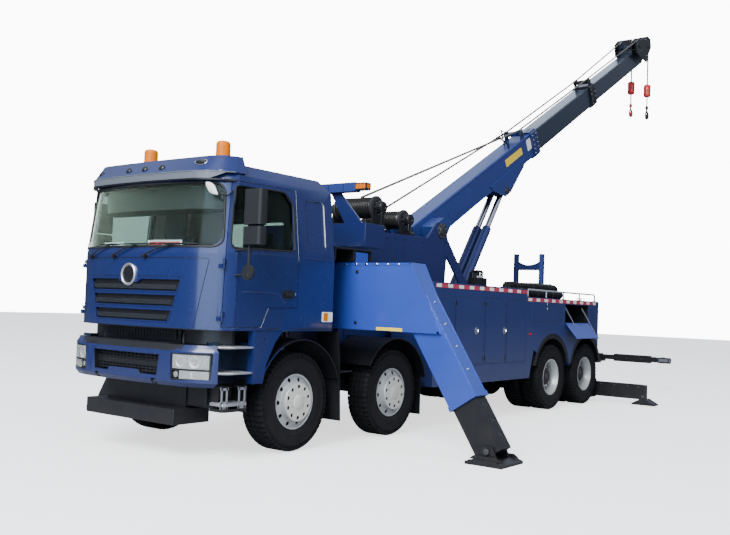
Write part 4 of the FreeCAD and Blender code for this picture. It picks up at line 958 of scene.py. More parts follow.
front.turn([(0, 90), (12, 88), (17, 60), (19, 0)], (ring_x - 2, 0, BADGE_Z), FORWARD, 1, 40)
for half, z0, z1, inner, outer in ((1000, 2004, 2012, -6, 1.5), (1010, 1296, 1304, -6, 3), (760, 1818, 1822, -4, 1.2)):
    strip(front, CAB, -half, half, z0, z1, inner, outer, 1)
for s in (1, -1):
    for z in (1320, 1995):
        strip(front, CAB, s * 996, s * 1002, z, z + 2, -3, 1.5, 1, 2, 0)
    front.tube([on_nose(s * (880 + 15 * k), 1314 + 85 * k, -1) for k in range(9)], 4, 1, 6)
front.done()

# %% [markdown]
# Rubber seals frame the glass, and the wipers lie on it. A curve object could draw them, but a tube
# through points on the nose follows it exactly and is a mesh at once.

# %% Window seals, wipers and the kerb mirror
seals = Form("window_seals", "root", PLASTIC, BLACK)
screen = rounded_corners([(-1098, 2124), (1098, 2124), (1043, 2776), (-1043, 2776)], 118, 6)
seals.loop([on_nose(y, z, -3) for y, z in spread(screen, 60)], 13)
seals.loop([(-481, y, z) for y, z in rounded_corners(rect(-505, 2145, 505, 2555), 60, 6)], 11)
seals.done()

wipers = Form("wipers", "root", BLACK, PLASTIC, DARK_STEEL)
for pivot_y in (-738, -262, 245):
    foot, knee = on_nose(pivot_y, 2024, 4), on_nose(pivot_y + 160, 2092, 34)
    grip = on_nose(pivot_y + 400, 2150, 24)
    wipers.turn([(0, 24), (22, 24), (30, 17), (42, 15), (46, 8), (46, 0)], foot, (1, 0, 0.1), 0, 20)
    wipers.tube([foot + Vector((30, 0, 0)), foot + Vector((34, 40, 20)), knee, (knee + grip) / 2, grip], 8.5, 0, 8)
    wipers.tube([knee + Vector((6, 0, -4)), knee + Vector((8, 70, 26))], 6, 2, 8)
    blade = [on_nose(pivot_y + 400 + y, 2148 + 0.00008 * y * y, 8) for y in range(-240, 241, 40)]
    wipers.tube(blade, 7, 1, 6)
    wipers.tube([p + Vector((14, 0, 3)) for p in blade[3:10]], 6, 0, 6)
wipers.done()

kerb = Form("kerb_mirror", "root", WHITE, CHROME, PLASTIC)
inner, outer = on_nose(925, 2760, 60), on_nose(1085, 2640, 120)
leaf = []
for k in range(11):
    width = 6 + 46 * math.sin(math.pi * min(0.98, 0.04 + k / 10))
    leaf.append([at(*(inner + (outer - inner) * k / 10
                      + Vector((math.cos(a) * 0.35, math.sin(a) * 0.4, math.sin(a) * 0.8)) * width))
                 for a in angles(12)])
kerb.solid(leaf, 0, 0, True)
kerb.tube([outer, on_nose(1120, 2640, 60), on_nose(1105, 2700, 6)], 9, 2, 8)
kerb.done()

# %% [markdown]
# Beacons are ribbed amber drums on black feet. What is round is a turned profile, as on a lathe,
# and a few points give the ribs.

# %% Roof lamps, beacons and visor edges
roof = Form("roof_lamps", "root", ORANGE, PLASTIC, CHROME, BLACK)
for y in (-800, -270, 0, 270):
    roof.turn([(0, 34), (10, 34), (16, 27), (20, 12), (21, 0)], (VISOR.x(y, -60) - 8, y, 2950),
              (1, 0.12 * y / 800, 0.55), 3, 24)
centre = Vector((VISOR.x(800, -58) - 24, 800, 2984))
along, upward = Vector((-0.148, 0.989, 0)), Vector((-0.473, -0.071, 0.879))
roof.loop([centre + along * 76 * math.cos(a) + upward * 30 * math.sin(a) for a in angles(28)], 8, 2)
roof.tube([centre + along * t for t in (-70, -56, -30, 0, 30, 56, 70)], [6, 18, 26, 28, 26, 18, 6], 1, 16)
beacon = [(0, 76)]
for rib in range(8, 145, 17):
    beacon += [(rib, 79), (rib + 7, 79), (rib + 9, 77.5)]
beacon += [(167, 78), (181, 72), (191, 60), (198, 36), (200, 0)]
for s in (1, -1):
    roof.turn([(0, 96), (10, 96), (20, 90), (58, 86), (66, 84)], (682, s * 595, 3038), UP, 1, 36)
    roof.turn(beacon, (682, s * 595, 3104), UP, 0, 40)
roof.done()

visor_edge = Form("visor_trim", "root", GREY, BLACK)
strip(visor_edge, VISOR, -1120, 1120, 2796, 2812, -44, 5, 1, 40)
strip(visor_edge, VISOR, -1122, 1122, 2880, 2890, -8, 4, 0, 40)
visor_edge.done()

# %% [markdown]
# A headlamp is a dark bay with bright bowls behind a clear glass. The bowls are real shapes,
# because flat painted ones go dead when they are seen from the side.

# %% Headlamps
head = Form("headlamps", "root", BLACK, LENS, CHROME, PLASTIC, ORANGE)
for s in (1, -1):
    # the dark bay, its bars and ends, then the two glasses: y0, y1, z0, z1, inner, outer, material, steps, bevel
    for y0, y1, *rest in ((694, 1098, 800, 1066, -44, -30, 0, 12, 2), (694, 1098, 896, 912, -40, -4, 3, 12, 2),
                          (694, 1098, 1052, 1066, -40, -3, 3, 12, 2), (694, 1098, 800, 813, -40, -3, 3, 12, 2),
                          (694, 706, 800, 1066, -40, -3, 3, 4, 2), (1086, 1098, 800, 1066, -40, -3, 3, 4, 2),
                          (712, 1082, 914, 1050, -16, -2, 1, 10, 3), (800, 1082, 816, 894, -16, -2, 1, 10, 3)):
        strip(head, BUMPER, s * y0, s * y1, *rest)
    for y, z, r, aside in ((795, 981, 58, 0.1), (935, 981, 58, 0.45), (1040, 981, 34, 0.8), (930, 855, 32, 0.45),
                           (1030, 855, 30, 0.8)):
        place = (BUMPER.x(y, -38), s * y, z)
        head.turn([(0, r * 0.35), (5, r * 0.6), (14, r * 0.9), (20, r), (20, r + 3), (0, r + 3)], place,
                  (1, s * aside, 0), 2, 28)
        head.turn([(2, 0), (2, r * 0.22), (16, r * 0.18), (20, 0)], place, (1, s * aside, 0), 1, 14)
    x = BUMPER.x(745, -30)
    head.turn([(0, 40), (26, 40), (26, 32), (16, 28), (12, 0)], (x - 8, s * 745, 855), (1, s * 0.12, 0), 3, 28)
    head.turn([(0, 30), (18, 29), (22, 16), (23, 0)], (x - 2, s * 745, 855), (1, s * 0.12, 0), 1, 24)
head.done(replaces=("lamps",))

# %% [markdown]
# The bumper's opening is closed by a mesh of crossed bars. They are modelled one by one, so that
# the dark radiator shows between them from every side.

# %% Bumper: top pad, tow eyes, mesh and the radiator behind it
bumper_trim = Form("bumper_trim", "root", BLACK, PLASTIC, DARK_STEEL, NAVY)
strip(bumper_trim, BUMPER, -620, 620, 1140, 1152, -150, -46, 1, 24, 3)
for grow in range(-142, -53, 11):
    strip(bumper_trim, BUMPER, -600, 600, 1151, 1155, grow, grow + 5, 0, 20, 0)
strip(bumper_trim, BUMPER, -528, 528, 838, 1030, -74, -68, 0, 16, 0)
for z in range(850, 996, 29):
    strip(bumper_trim, BUMPER, -520, 520, z, z + 9, -68, -50, 1, 16, 1)
for y in range(-480, 481, 60):
    strip(bumper_trim, BUMPER, y, y + 6, 842, 1024, -68, -54, 1, 1, 0)
for s in (1, -1):
    bumper_trim.turn([(0, 10), (0, 26), (70, 26), (74, 22), (74, 10)], (BUMPER.x(460, -90), s * 460, 767), FORWARD,
                     2, 20)
    bumper_trim.tube([(1150, s * 640, 1150), (1150, s * 640, 1230), (1110, s * 640, 1290)], 14, 2, 10)
bumper_trim.boxes(1, (1040, 1170, -620, 620, 1150, 1290, 0, 6), (1052, 1084, -640, 640, 470, 742, 0, 6),
                  (1052, 1070, 640, 1090, 520, 742, 0, 6), (702, 730, 560, 1120, 470, 800, 0, 6),
                  (1165, 1185, -560, 560, 1180, 1280, 1, 4))
bumper_trim.boxes(1, *((1184, 1190, y, y + 8, 1186, 1274, 0, 0) for y in range(-540, 511, 50)))
bumper_trim.done()

# %% [markdown]
# Metal treads are set in the bumper's corners. Their outer edge has to follow the bumper, so its
# points are asked from the bumper's own outline.

# %% Entry steps in the bumper's corners
TREAD_REACH = 1222


def tread(form, z, x0, x1, inner, material):
    """A step plate that ends on the bumper's outline, with cleats and a rolled edge."""
    def reach(x):
        return min(TREAD_REACH, BUMPER.y(x, -16))

    xs = [x0 + (x1 - x0) * k / 6 for k in range(7)]
    for s in (1, -1):
        form.prism([(x, s * reach(x)) for x in xs] + [(x1, s * inner), (x0, s * inner)], "z", z - 20, z, material, 2)
        form.tube([(x, s * (reach(x) - 5), z - 8) for x in xs], 9, material, 8)
        for k in range(7):
            x = x0 + 26 + (x1 - x0 - 60) * k / 6
            form.box((x, x + 14), (s * (inner + 60), s * (reach(x) - 40)), (z, z + 4), material, 1.5)


steps = Form("entry_steps", "root", BLACK, ALUMINIUM, GREY, SLATE)
tread(steps, 1142, 745, 1136, 965, 1)
tread(steps, 888, 748, 1136, 965, 1)
for s in (1, -1):
    for x0, x1, y in ((700, 724, 1218), (1100, 1112, 1090)):
        steps.prism(rect(s * 942, 756, s * y, 1176), "x", x0, x1, 3, 3)
    steps.prism(rect(704, 756, 1112, 1176), "y", s * 942, s * 960, 3, 2)
    steps.box((1002, 1058), (s * 432, s * 944), (852, 908), 0, 3)
# the low step hangs on the left only, from two open frames
steps.prism(rect(760, 562, 1100, 756), "y", 942, 960, 0, 2)
for x0, x1, y in ((806, 918, 1212), (1030, 1134, 1192)):
    steps.boxes(1, *((a, b, y - 6, y, 530, 745, 1, 1.5) for a, b in ((x0 + 8, x0 + 28), (x1 - 28, x1 - 8))),
                *((x0, x1, y - 6, y, z0, z1, 1, 1.5) for z0, z1 in ((530, 600), (715, 748))),
                (x0 + 10, x1 - 10, 962, y, 740, 752, 0, 2))
low = rounded_corners([(792, 1012), (1118, 1012), (1118, 1196), (1080, 1216), (792, 1220)], 24)
steps.prism(low, "z", 560, 586, 1, 5)
steps.prism(low, "z", 502, 531, 0, 4)
steps.boxes(1, *((x, x + 18, 1030, 1186, 586, 590, 1, 1) for x in range(815, 1082, 38)))
steps.done(replaces=("cab_steps",))

# %% [markdown]
# The door's small parts ride on the door's body, so that they swing with it. A tube let halfway
# into the skin reads as a pressed crease.

# %% Door trim: crease, handle, window seals and mirror faces
SILLS = [(1046, 2119), (179, 2144), (179, 2644), (296, 2768), (981, 2768)]
CREASE = [(1068, 1690), (900, 1690), (700, 1690), (470, 1690), (415, 1680), (365, 1640), (335, 1604), (300, 1596)]
# each mirror head's front face x, its span in y, and its post's x and y
HEADS = {"left": (978, 1345, 1575, 1040, 1400), "right": (640, 1288, 1354, 880, 1325)}
for side, s in SIDES.items():
    trim = Form(f"door_trim_{side}", f"door_{side}", PLASTIC, NAVY, MIRROR, CHROME, GREY)
    trim.loop([on_side(x, z, s, -3) for x, z in spread(rounded_corners(SILLS, 58, 6), 70)], 11)
    trim.tube([on_side(x, z, s, -1) for x, z in CREASE], 7, 1, 8)
    trim.tube([on_side(x, z, s, 0) for x, z in ((1075, 2080), (800, 2082), (500, 2084), (140, 2086))], 5, 1, 8)
    trim.prism(rect(180, 1640, 362, 1728, 30), "y", s * 1240, s * 1248, 0, 2)
    trim.prism(rect(196, 1676, 338, 1712, 14), "y", s * 1249, s * 1270, 0, 6)
    trim.stud((168, s * 1246, 1690), (0, s, 0), 13, 5, 2, 1, 3, 20)
    face_x, y0, y1, post_x, post_y = HEADS[side]
    for z0, z1 in ((2345, 2690), (2150, 2325)):
        trim.prism(rect(s * (y0 + 12), z0 + 12, s * (y1 - 12), z1 - 12, 26), "x", face_x - 4, face_x + 1, 0, 1)
        trim.prism(rect(s * (y0 + 22), z0 + 22, s * (y1 - 22), z1 - 22, 20), "x", face_x - 6, face_x - 3, 2, 0)
    for z in (1850, 2100):
        trim.stud((post_x, s * post_y, z), UP, 20, 16, 3, 2, 0, 16, -16)
    trim.turn([(-15, 0), (-15, 62), (-13, 66), (-12, 66)], (post_x, s * post_y, 1880), FORWARD, 2, 32)
    trim.done()

# %% [markdown]
# The cab's side behind the door is fixed, so its pressed outline and its lamp ride on the root.

# %% Cab side: sleeper panel's outline and the side lamp
side_trim = Form("cab_side_trim", "root", PLASTIC, NAVY, WHITE, ORANGE, GREY)
for s in (1, -1):
    side_trim.loop([on_side(x, z, s, -4) for x, z in rect(-2, 2172, -348, 2738, 62)], 5, 1)
    side_trim.tube([on_side(x, 2084, s, 0) for x in (-470, -300, -100, 100)], 5, 1, 8)
    side_trim.prism(rect(-293, 1401, -467, 1511, 14), "y", s * 1243, s * 1254, 2, 4)
    side_trim.prism(rect(-310, 1412, -380, 1500, 10), "y", s * 1254, s * 1259, 3, 2)
    side_trim.tube([on_side(x, 1322, s, 1) for x in (-470, -200, 100, 560)], 5, 0, 6)
side_trim.done()

# %% [markdown]
# The cabin shows only through glass. Seats, bunk and dash are outlines drawn from the side and
# given their width, with wide soft edges where there is foam.

# %% Inside the cab: seats, bunk, dash, papers and shelf
room = Form("cabin", "root", CLOTH, TRIM, CREAM_TRIM, PLASTIC, WHITE, RED)
SEAT_Y, DASH = 620, 1
for y in (SEAT_Y, -SEAT_Y):
    for half, bevel, outline in ((236, 34, [(64, 1604), (548, 1612), (556, 1728), (500, 1756), (64, 1716)]),
                                 (232, 34, [(44, 1700), (176, 1700), (128, 2180), (34, 2180)]),
                                 (140, 26, [(34, 2196), (112, 2196), (96, 2352), (26, 2352)])):
        room.prism(outline, "y", y - half, y + half, 0, bevel)
    for s in (-1, 1):
        room.prism([(110, 1716), (480, 1752), (480, 1772), (110, 1742)], "y", y + s * 176, y + s * 226, 0, 14)
    room.box((156, 446), (y - 146, y + 146), (1360, 1600), 3, 14)
    for z in range(1390, 1543, 38):
        room.box((150, 452), (y - 150, y + 150), (z, z + 16), 3, 3)
room.prism([(1284, 1506), (1284, 2030), (1180, 2052), (1000, 1990), (972, 1750), (1056, 1506)], "y", -640, 640,
           DASH, 22)
for s in (1, -1):
    room.prism([(1130, 1506), (1130, 2040), (1060, 2010), (986, 1984), (970, 1750), (1056, 1506)], "y", s * 640,
               s * 1016, DASH, 18)
room.prism([(1010, 1996), (1090, 2030), (1090, 2056), (1030, 2056), (960, 2010)], "y", 380, 860, 3, 16)
for y in (500, 620, 740):
    room.turn([(0, 44), (6, 44), (8, 40), (4, 36), (4, 0)], (978, y, 1930), (-1, 0, 0.2), 3, 24)
room.boxes(1, (-415, -20, -1092, 1092, 1362, 1650, 1, 10), (-415, -16, -1096, 1096, 1660, 1796, 0, 40),
           (962, 975, -340, 120, 1820, 1930, 3, 4), (958, 970, -300, 80, 1700, 1790, 3, 4))
for row in ((-1000, 960, 2120, 2138, -64, -42, 2, 20, 4), (-540, -150, 2130, 2176, -44, -40, 4, 8, 0),
            (220, 675, 2130, 2190, -44, -40, 4, 8, 0), (240, 655, 2142, 2170, -40, -39, 5, 8, 0)):
    strip(room, CAB, *row)
shelf = [(1150, 640), (1090, 800), (980, 950), (850, 1060), (760, 1080)]
room.prism([(x, -y) for x, y in shelf[::-1]] + shelf, "z", 2520, 2750, 3, 12)
folds = [(10 + 22 * (k % 2), -1085 + 24 * k) for k in range(16)]
room.prism(folds + [(-20, -725), (-20, -1085)], "z", 1800, 2640, 0, 0)

# %% [markdown]
# The steering wheel is drawn flat and then leaned over by one rotation, which is easier to read
# than places worked out at a slant.

# %% Steering wheel and gear lever
tilt = Matrix.Rotation(math.radians(-35), 3, "Y")
wheel_middle = Vector((760, SEAT_Y, 2000))


def on_wheel(r, a, above=0.0):
    return wheel_middle + tilt @ Vector((r * math.cos(a), r * math.sin(a), above))


room.loop([on_wheel(230, a) for a in angles(36)], 16, 3)
for a in (0.35, math.pi - 0.35, -math.pi / 2):
    room.tube([on_wheel(34, a, -20), on_wheel(222, a)], 13, 3, 8)
room.turn([(-42, 50), (0, 58), (10, 50), (14, 0)], wheel_middle, tilt @ Vector(UP), 3, 28)
room.rod(27, (772, 620, 1985), (1000, 620, 1806), 3)
room.tube([(700, 0, 1360), (690, 0, 1600), (640, 30, 1760)], 12, 3, 8)
room.turn([(0, 20), (24, 30), (52, 24), (60, 0)], (640, 30, 1750), (-0.1, 0, 1), 1, 18)
room.done(replaces=("cab_interior",))

# %% [markdown]
# Between cab and bumper one looks into a dark gap. A black strip deep inside keeps daylight from
# showing through.

# %% The dark gap between cab and bumper
gap = Form("nose_gap", "root", BLACK)
strip(gap, BUMPER, -1080, 1080, 1152, 1294, -230, -210, 0, 24, 2)
gap.done()

# %% [markdown]
# ## Along the chassis and the body
# Mudflaps, tanks, springs and shafts fill the space under the body. The lockers get door panels,
# latches, a reflective stripe, a handrail and the gear that lies on the deck.

# %% Mudflaps, tanks and running gear
under = Form("under_body", "root", BLACK, RUBBER, DARK_STEEL, ALUMINIUM, PLASTIC, BLUE)


def leaf_spring(arc, thick, y0, y1):
    under.prism(arc + [(x, z + thick) for x, z in arc[::-1]], "y", y0, y1, 2, 1)


flap = [(-600, 1290), (-650, 1000), (-676, 563), (-694, 279)]
under.prism(flap + [(x - 9, z) for x, z in flap[::-1]], "y", 940, 1236, 1, 2)
for s in (1, -1):
    for x, back, top, foot, y0, y1 in ((-2440, 8, 700, 213, 640, 1170), (-8240, 6, 880, 330, 620, 1190)):
        under.prism([(x, top), (x - back, foot), (x - back - 9, foot), (x - 9, top)], "y", s * y0, s * y1, 1, 2)
    under.boxes(s, (-2452, -2436, 600, 1180, 690, 740, 0, 4))
    for axle in (0, -1800):
        for k in range(5):
            half, z = 780 - 110 * k, 640 + 13 * k
            end = z + 70 * (half / 780) ** 2
            leaf_spring([(axle - half, end), (axle - half / 2, z + 16), (axle, z), (axle + half / 2, z + 16),
                         (axle + half, end)], 11, s * 350, s * 425)
        for x in (axle - 45, axle + 45):
            under.tube([(x, s * y, z) for y, z in ((342, 560), (342, 712), (433, 712), (433, 560))], 9, 2, 8)
        damper_top = (axle - 215, s * 470, 930)
        under.rod(28, (axle - 170, s * 560, 560), damper_top, 0, 18)
        under.rod(36, (axle - 192, s * 516, 740), damper_top, 0, 18)
    for k in range(7):
        half, z = 700 - 72 * k, 700 - 16 * k
        end = z - 60 * (half / 700) ** 2
        leaf_spring([(-7010 - half, end), (-7010, z), (-7010 + half, end)], 14, s * 445, s * 535)
    under.turn([(0, 70), (90, 70), (90, 0)], (-7010, s * 445, 640), (0, s, 0), 0, 24)
    for x in (-6365, -6255, -7765, -7655):
        under.rod(12, (x, s * 455, 470), (x, s * 455, 660), 2, 12)
for r, x0, z0, x1, z1 in ((48, -2900, 700, -4500, 660), (48, -4560, 658, -5960, 600), (44, -6700, 590, -7330, 590)):
    under.rod(r, (x0, 0, z0), (x1, 0, z1), 2, 24)
for x, z in ((-2900, 700), (-4530, 659), (-5965, 600), (-6690, 590), (-7340, 590)):
    under.turn([(-34, 50), (-34, 84), (-10, 84), (-10, 62), (10, 62), (10, 84), (34, 84), (34, 50)], (x, 0, z),
               FORWARD, 0, 24)
under.turn([(0, 60), (0, 128), (24, 140), (760, 140), (784, 128), (784, 60)], (-4000, -250, 860), FORWARD, 2, 32)
for x in (-3840, -3610, -3380):
    under.turn([(-14, 140), (-14, 147), (14, 147), (14, 140)], (x, -250, 860), FORWARD, 0, 32)
under.boxes(1, (-1500, -2280, -1190, -520, 520, 980, 3, 30), (-2300, -2440, -1180, -760, 620, 980, 4, 10),
            *((x - 18, x + 18, -1196, -514, 514, 986, 0, 3) for x in (-1640, -2120)))
under.done()

# %% [markdown]
# Lockers shut with round pull latches. Their doors fit closely, so a thin panel with soft edges and
# dark lines beside it shows each door without a cut in the body.

# %% Locker doors: latches, locks, lamp and seam caps
LOCKER_FACE = 1245
latches = Form("locker_latches", "root", CHROME, PLASTIC, RED_LENS, WHITE, BLACK)


def paddle(x, z, s):
    """A round pull latch with a D-shaped handle."""
    place, out = (x, s * LOCKER_FACE, z), (0, s, 0)
    latches.turn([(0, 52), (3, 52), (5, 49), (5, 44), (-1, 42), (-1, 0)], place, out, 0, 32)
    latches.turn([(0, 41), (1, 40), (1, 0)], place, out, 1, 28)
    bend = [(-30, 1250, 22), (-30, 1257, -4), (-16, 1258, -26), (16, 1258, -26), (30, 1257, -4), (30, 1250, 22),
            (-30, 1250, 22)]
    latches.tube([(x + dx, s * y, z + dz) for dx, y, dz in bend], 5.5, 0, 8)


for s in (1, -1):
    for x in (-3746, -4590) if s > 0 else (-2905, -3746, -4590, -5240):
        paddle(x, 1307, s)
    for x, z in ((-6070, 1733), (-6074, 1660)):
        latches.stud((x, s * LOCKER_FACE, z), (0, s, 0), 20, 4, 3, 3, 0, 24)
        latches.boxes(s, (x - 3, x + 3, 1250, 1254, z - 12, z + 12, 1, 0.8))
    latches.boxes(s, (-5420, -5480, 1243, 1254, 1234, 1270, 2, 3), (-5412, -5488, 1243, 1247, 1226, 1278, 4, 2))
    for z in (905, 1690):
        for x in (-3172, -3948, -4007, -4618):
            latches.stud((x, s * 1247, z), UP, 7, 30, 1, 1, 4, 14, -30)
latches.done()

panels = Form("locker_panels", "root", BODY, BLACK)
for s in (1, -1):
    for x0, x1 in ((-2665, -3140), (-3160, -3960), (-3995, -4630), (-4652, -5300)):
        panels.prism(rect(x0 - 26, 844, x1 + 26, 1748, 16), "y", s * 1243, s * 1247.5, 0, 2)
        panels.boxes(s, *((x0 - 8, x1 + 8, 1241, 1244.5, z, z + 9, 1, 0) for z in (826, 1757)),
                     *((x - 5, x + 5, 1241, 1244.5, 826, 1766, 1, 0) for x in (x0 - 10, x1 + 10)))
    panels.prism(rect(-5505, 1461, -6652, 1765, 16), "y", s * 1243, s * 1247.5, 0, 2)
    panels.boxes(s, *((x0, x1, 1236, 1250, z0, z1, 0, 3) for x0, x1, z0, z1 in (
        (-2604, -5325, 1940, 1953), (-2604, -5456, 560, 574), (-2600, -2612, 560, 1953), (-5308, -5322, 1000, 1953))))
panels.done()

# %% [markdown]
# The stripe is tape with white blocks on red. Thin raised blocks keep their edges sharp from near,
# where a pattern in the material could blur.

# %% The stripe, in red and white blocks
stripe = Form("stripe", "root", FADED_RED, WHITE)
PERIOD, BLOCK, TALL = 290, 125, 58
for s in (1, -1):
    for x0, x1, top in ((-2623, -5300, 1939), (-5342, -8100, 1824)):
        stripe.boxes(s, (x0, x1, 1244, 1248, top - TALL, top, 0, 0.5))
        for x in range(x0 - 20, x1 + 120, -PERIOD):
            stripe.prism(rect(x, top - TALL + 5, x - BLOCK, top - 5, 14), "y", s * 1247, s * 1249.5, 1, 0)
stripe.done()

# %% [markdown]
# The deck carries rolls under bands, a box under straps, and valves with levers and hoses. The
# rolls are tubes whose middle line wanders a little, as soft rolls do.

# %% Handrail, and what lies on the deck
DECK, RAIL_Y = 1836, 1200
rail = Form("handrail", "root", ALUMINIUM, DARK_STEEL)
for s in (1, -1):
    rail.tube([(x, s * RAIL_Y, z) for x, z in ((-5420, 1840), (-5420, 1930), (-5440, 1955), (-8120, 1955),
                                               (-8150, 1930), (-8150, 1840))], 15, 0, 12)
    for x in (-6100, -6780, -7460):
        rail.rod(13, (x, s * RAIL_Y, DECK), (x, s * RAIL_Y, 1955), 0, 14)
    for x in (-5420, -6100, -6780, -7460, -8150):
        rail.turn([(0, 30), (6, 30), (8, 26), (8, 12)], (x, s * RAIL_Y, DECK - 1), UP, 1, 18)
rail.done()

gear = Form("deck_gear", "root", RUBBER, GREY, BLACK, DARK_STEEL, BLUE, ALUMINIUM, RED, CLOTH)
for k, (y, z, r) in enumerate(((640, 1918, 82), (795, 1915, 78), (712, 2020, 70))):
    gear.tube([(-5600 - 1900 * t / 24, y + 14 * math.sin(t * 0.9 + k), z + 5 * math.sin(t * 1.3 + 2 * k))
               for t in range(25)], r, 0, 18)
    for x in (-5900, -6500, -7100):
        gear.turn([(-18, r), (-18, r + 6), (18, r + 6), (18, r)], (x, y, z), FORWARD, 2, 24)
gear.prism(rounded_corners([(250, DECK), (700, DECK), (700, 2092), (640, 2110), (310, 2110), (250, 2092)], 22), "x",
           -6700, -7570, 1, 10)
gear.boxes(1, *((x - 16, x + 16, 246, 704, 1838, 2116, 2, 3) for x in (-6900, -7350)),
           (-7060, -7200, 200, 252, 1960, 2010, 3, 6), (-5050, -5300, 300, 560, 1955, 1975, 3, 4),
           (-5070, -5280, 320, 540, 1975, 2120, 2, 8), (-4330, -4700, -1150, -620, 1956, 2030, 4, 12))
for x in range(-5090, -5259, -42):
    gear.rod(13, (x, 380, 2118), (x, 380, 2205), 3, 14)
    gear.turn([(0, 11), (16, 20), (34, 20), (44, 10), (44, 0)], (x, 380, 2200), (0.15, 0, 1), 2, 16)
    gear.rod(15, (x, 470, 2118), (x, 470, 2150), 5, 12)
    gear.tube([(x, 470, 2140), (x, 476, 2205), (x - 16, 440, 2240), (x - 60, 300, 2200), (x - 90, 258, 2080),
               (x - 100, 250, 1960)], 10, 0, 10)
for s in (1, -1):
    for x in (-7990, -8130):
        gear.tube([(x, s * y, z) for y, z in ((1010, DECK), (1010, 1880), (930, 1880), (930, DECK))], 9, 3, 10)
gear.done()

# %% [markdown]
# Each lens is its own thin box, because clear, red and orange plastic are different materials.

# %% Rear lamps, and a bare place for the number plate
tail = Form("tail_lamps", "root", BLACK, RED_LENS, ORANGE, LENS, WHITE, PLASTIC)
for s in (1, -1):
    tail.boxes(s, (-8249, -8262, 800, 1200, 900, 1040, 5, 6), (-8249, -8256, 620, 1235, 1782, 1830, 1, 2),
               *((-8260, -8268, y0, y1, 915, 1025, lens, 5) for y0, y1, lens in ((815, 930, 3), (940, 1060, 1),
                                                                                 (1070, 1185, 2))))
    for z in (1200, 1400, 1600):
        tail.turn([(0, 26), (8, 24), (12, 12), (13, 0)], (-8250, s * 1205, z), (-1, 0, 0), 1, 20)
tail.boxes(1, (-8249, -8258, -260, 260, 1180, 1290, 4, 3),
           *((-8256, -8266, y - 22, y + 22, 1294, 1316, 3, 3) for y in (-120, 120)))
tail.done()

# %% [markdown]
# Gas struts hold the open flap. A strut's two ends move with different bodies, and the piece is
# left on no body.

# %% Hatch struts, one end on the body and one on the flap
for k, (a, b) in enumerate((((-6800, 1228, 1700), (-7085, 1322, 1345)), ((-7500, 1228, 1700), (-7745, 1385, 1278)))):
    strut = Form(f"hatch_strut_{k + 1}", "root", GREY, CHROME)
    points = [Vector(a).lerp(Vector(b), t / 10) for t in range(11)]
    strut.tube(points[:6], 13, 0, 12)
    strut.tube(points[5:], 7, 1, 10)
    strut.done(blend=("root", "locker_hatch", at(*a), at(*b)))

# %% [markdown]
# ## Winches, ropes and the boom
# Each drum carries its wound rope between two flanges. One rope leaves each drum, runs over the
# rollers on the boom's collars, and turns over the two head sheaves down to its hook.

# %% Winches
WINCHES = ((-2500, 2960, 165, 300), (-3200, 2860, 150, 280))    # x, z, radius, half width
FLANGE, COIL = 28, 28
MOTOR = [(29, 84), (40, 84)]
for w in range(44, 93, 16):
    MOTOR += [(w, 78), (w + 4, 84), (w + 12, 84)]
MOTOR += [(112, 80), (119, 66), (119, 30), (112, 26), (112, 0)]
winch = Form("winch_set", "root", BLACK, DARK_STEEL, WOUND, CHROME, PLASTIC, BLUE)
for x, z, r, half in WINCHES:
    outside = half + FLANGE
    coils = [(-half, r - 40)]
    for y in range(16 - half, half - 14, COIL):
        coils += [(y - 13, r - 36), (y - 7, r - 20), (y, r - 16), (y + 7, r - 20)]
    winch.turn(coils + [(half, r - 40)], (x, 0, z), LEFT, 2, 40)
    cheek = rounded_corners([(x - 150, 2600), (x - 128, z + 40), (x - 58, z + 95), (x + 58, z + 95), (x + 128, z + 40),
                             (x + 150, 2600)], 20)
    for s in (1, -1):
        way = (0, s, 0)
        winch.turn([(0, r - 60), (0, r - 2), (4, r), (24, r), (28, r - 6), (28, r - 60)], (x, s * half, z), way, 1, 44)
        winch.prism(cheek, "y", s * (outside + 1), s * (outside + 29), 0, 4)
        winch.boxes(s, (x - 148, x + 148, outside - 20, outside + 50, 2601, 2618, 0, 4))
        winch.turn(MOTOR, (x, s * outside, z), way, 0 if s > 0 else 1, 40)
        for a in angles(8):
            winch.stud((x + 92 * math.cos(a), s * (outside + 28), z + 88 * math.sin(a) - 4), way, 8, 8, 2, 1, 3, 10)
        for dx in (-118, 118):
            winch.stud((x + dx, s * (outside + 40), 2618), UP, 14, 12, 3, 2, 3, 12)
    for dx in (-28, 28):
        top = Vector((x + dx, outside + 92, z - 60))
        winch.turn([(0, 13), (18, 13), (18, 0)], top, (0, 0, -1), 3, 12)
        winch.tube([top + Vector((0, 0, -16)), top + Vector((0, 6, -90)), (x + dx - 30, outside + 60, 2720),
                    (x + dx - 60, 430, 2660), (x + dx - 60, 380, 2606)], 11, 4, 10)
    winch.rod(16, (x - 130, -outside - 2, z + 52), (x - 130, outside + 2, z + 52), 0, 14)
winch.done(replaces=("winches",))

# %% [markdown]
# Bolts stand in straight rows along the pedestal's plates. One bolt and the line group make each
# row.

# %% Light bar's lamps, and bolts on the pedestal
bar = Form("light_bar_lamps", "root", ORANGE, PLASTIC, BLACK, MEDIUM)
for s in (1, -1):
    bar.boxes(s, *((x, x + 3, y0, y1, 3026, 3084, 0, 1) for y0, y1 in ((912, 958), (962, 1008), (1012, 1056))
                   for x in (-1357, -1246)))
    bar.prism(rect(-1330, 3030, -1270, 3080, 12), "y", s * 1064, s * 1067, 0, 1)
bar.boxes(1, *((-1362, -1238, y - 3, y + 3, 2998, 3106, 2, 0.5) for y in range(-720, 721, 240)))
bar.done()

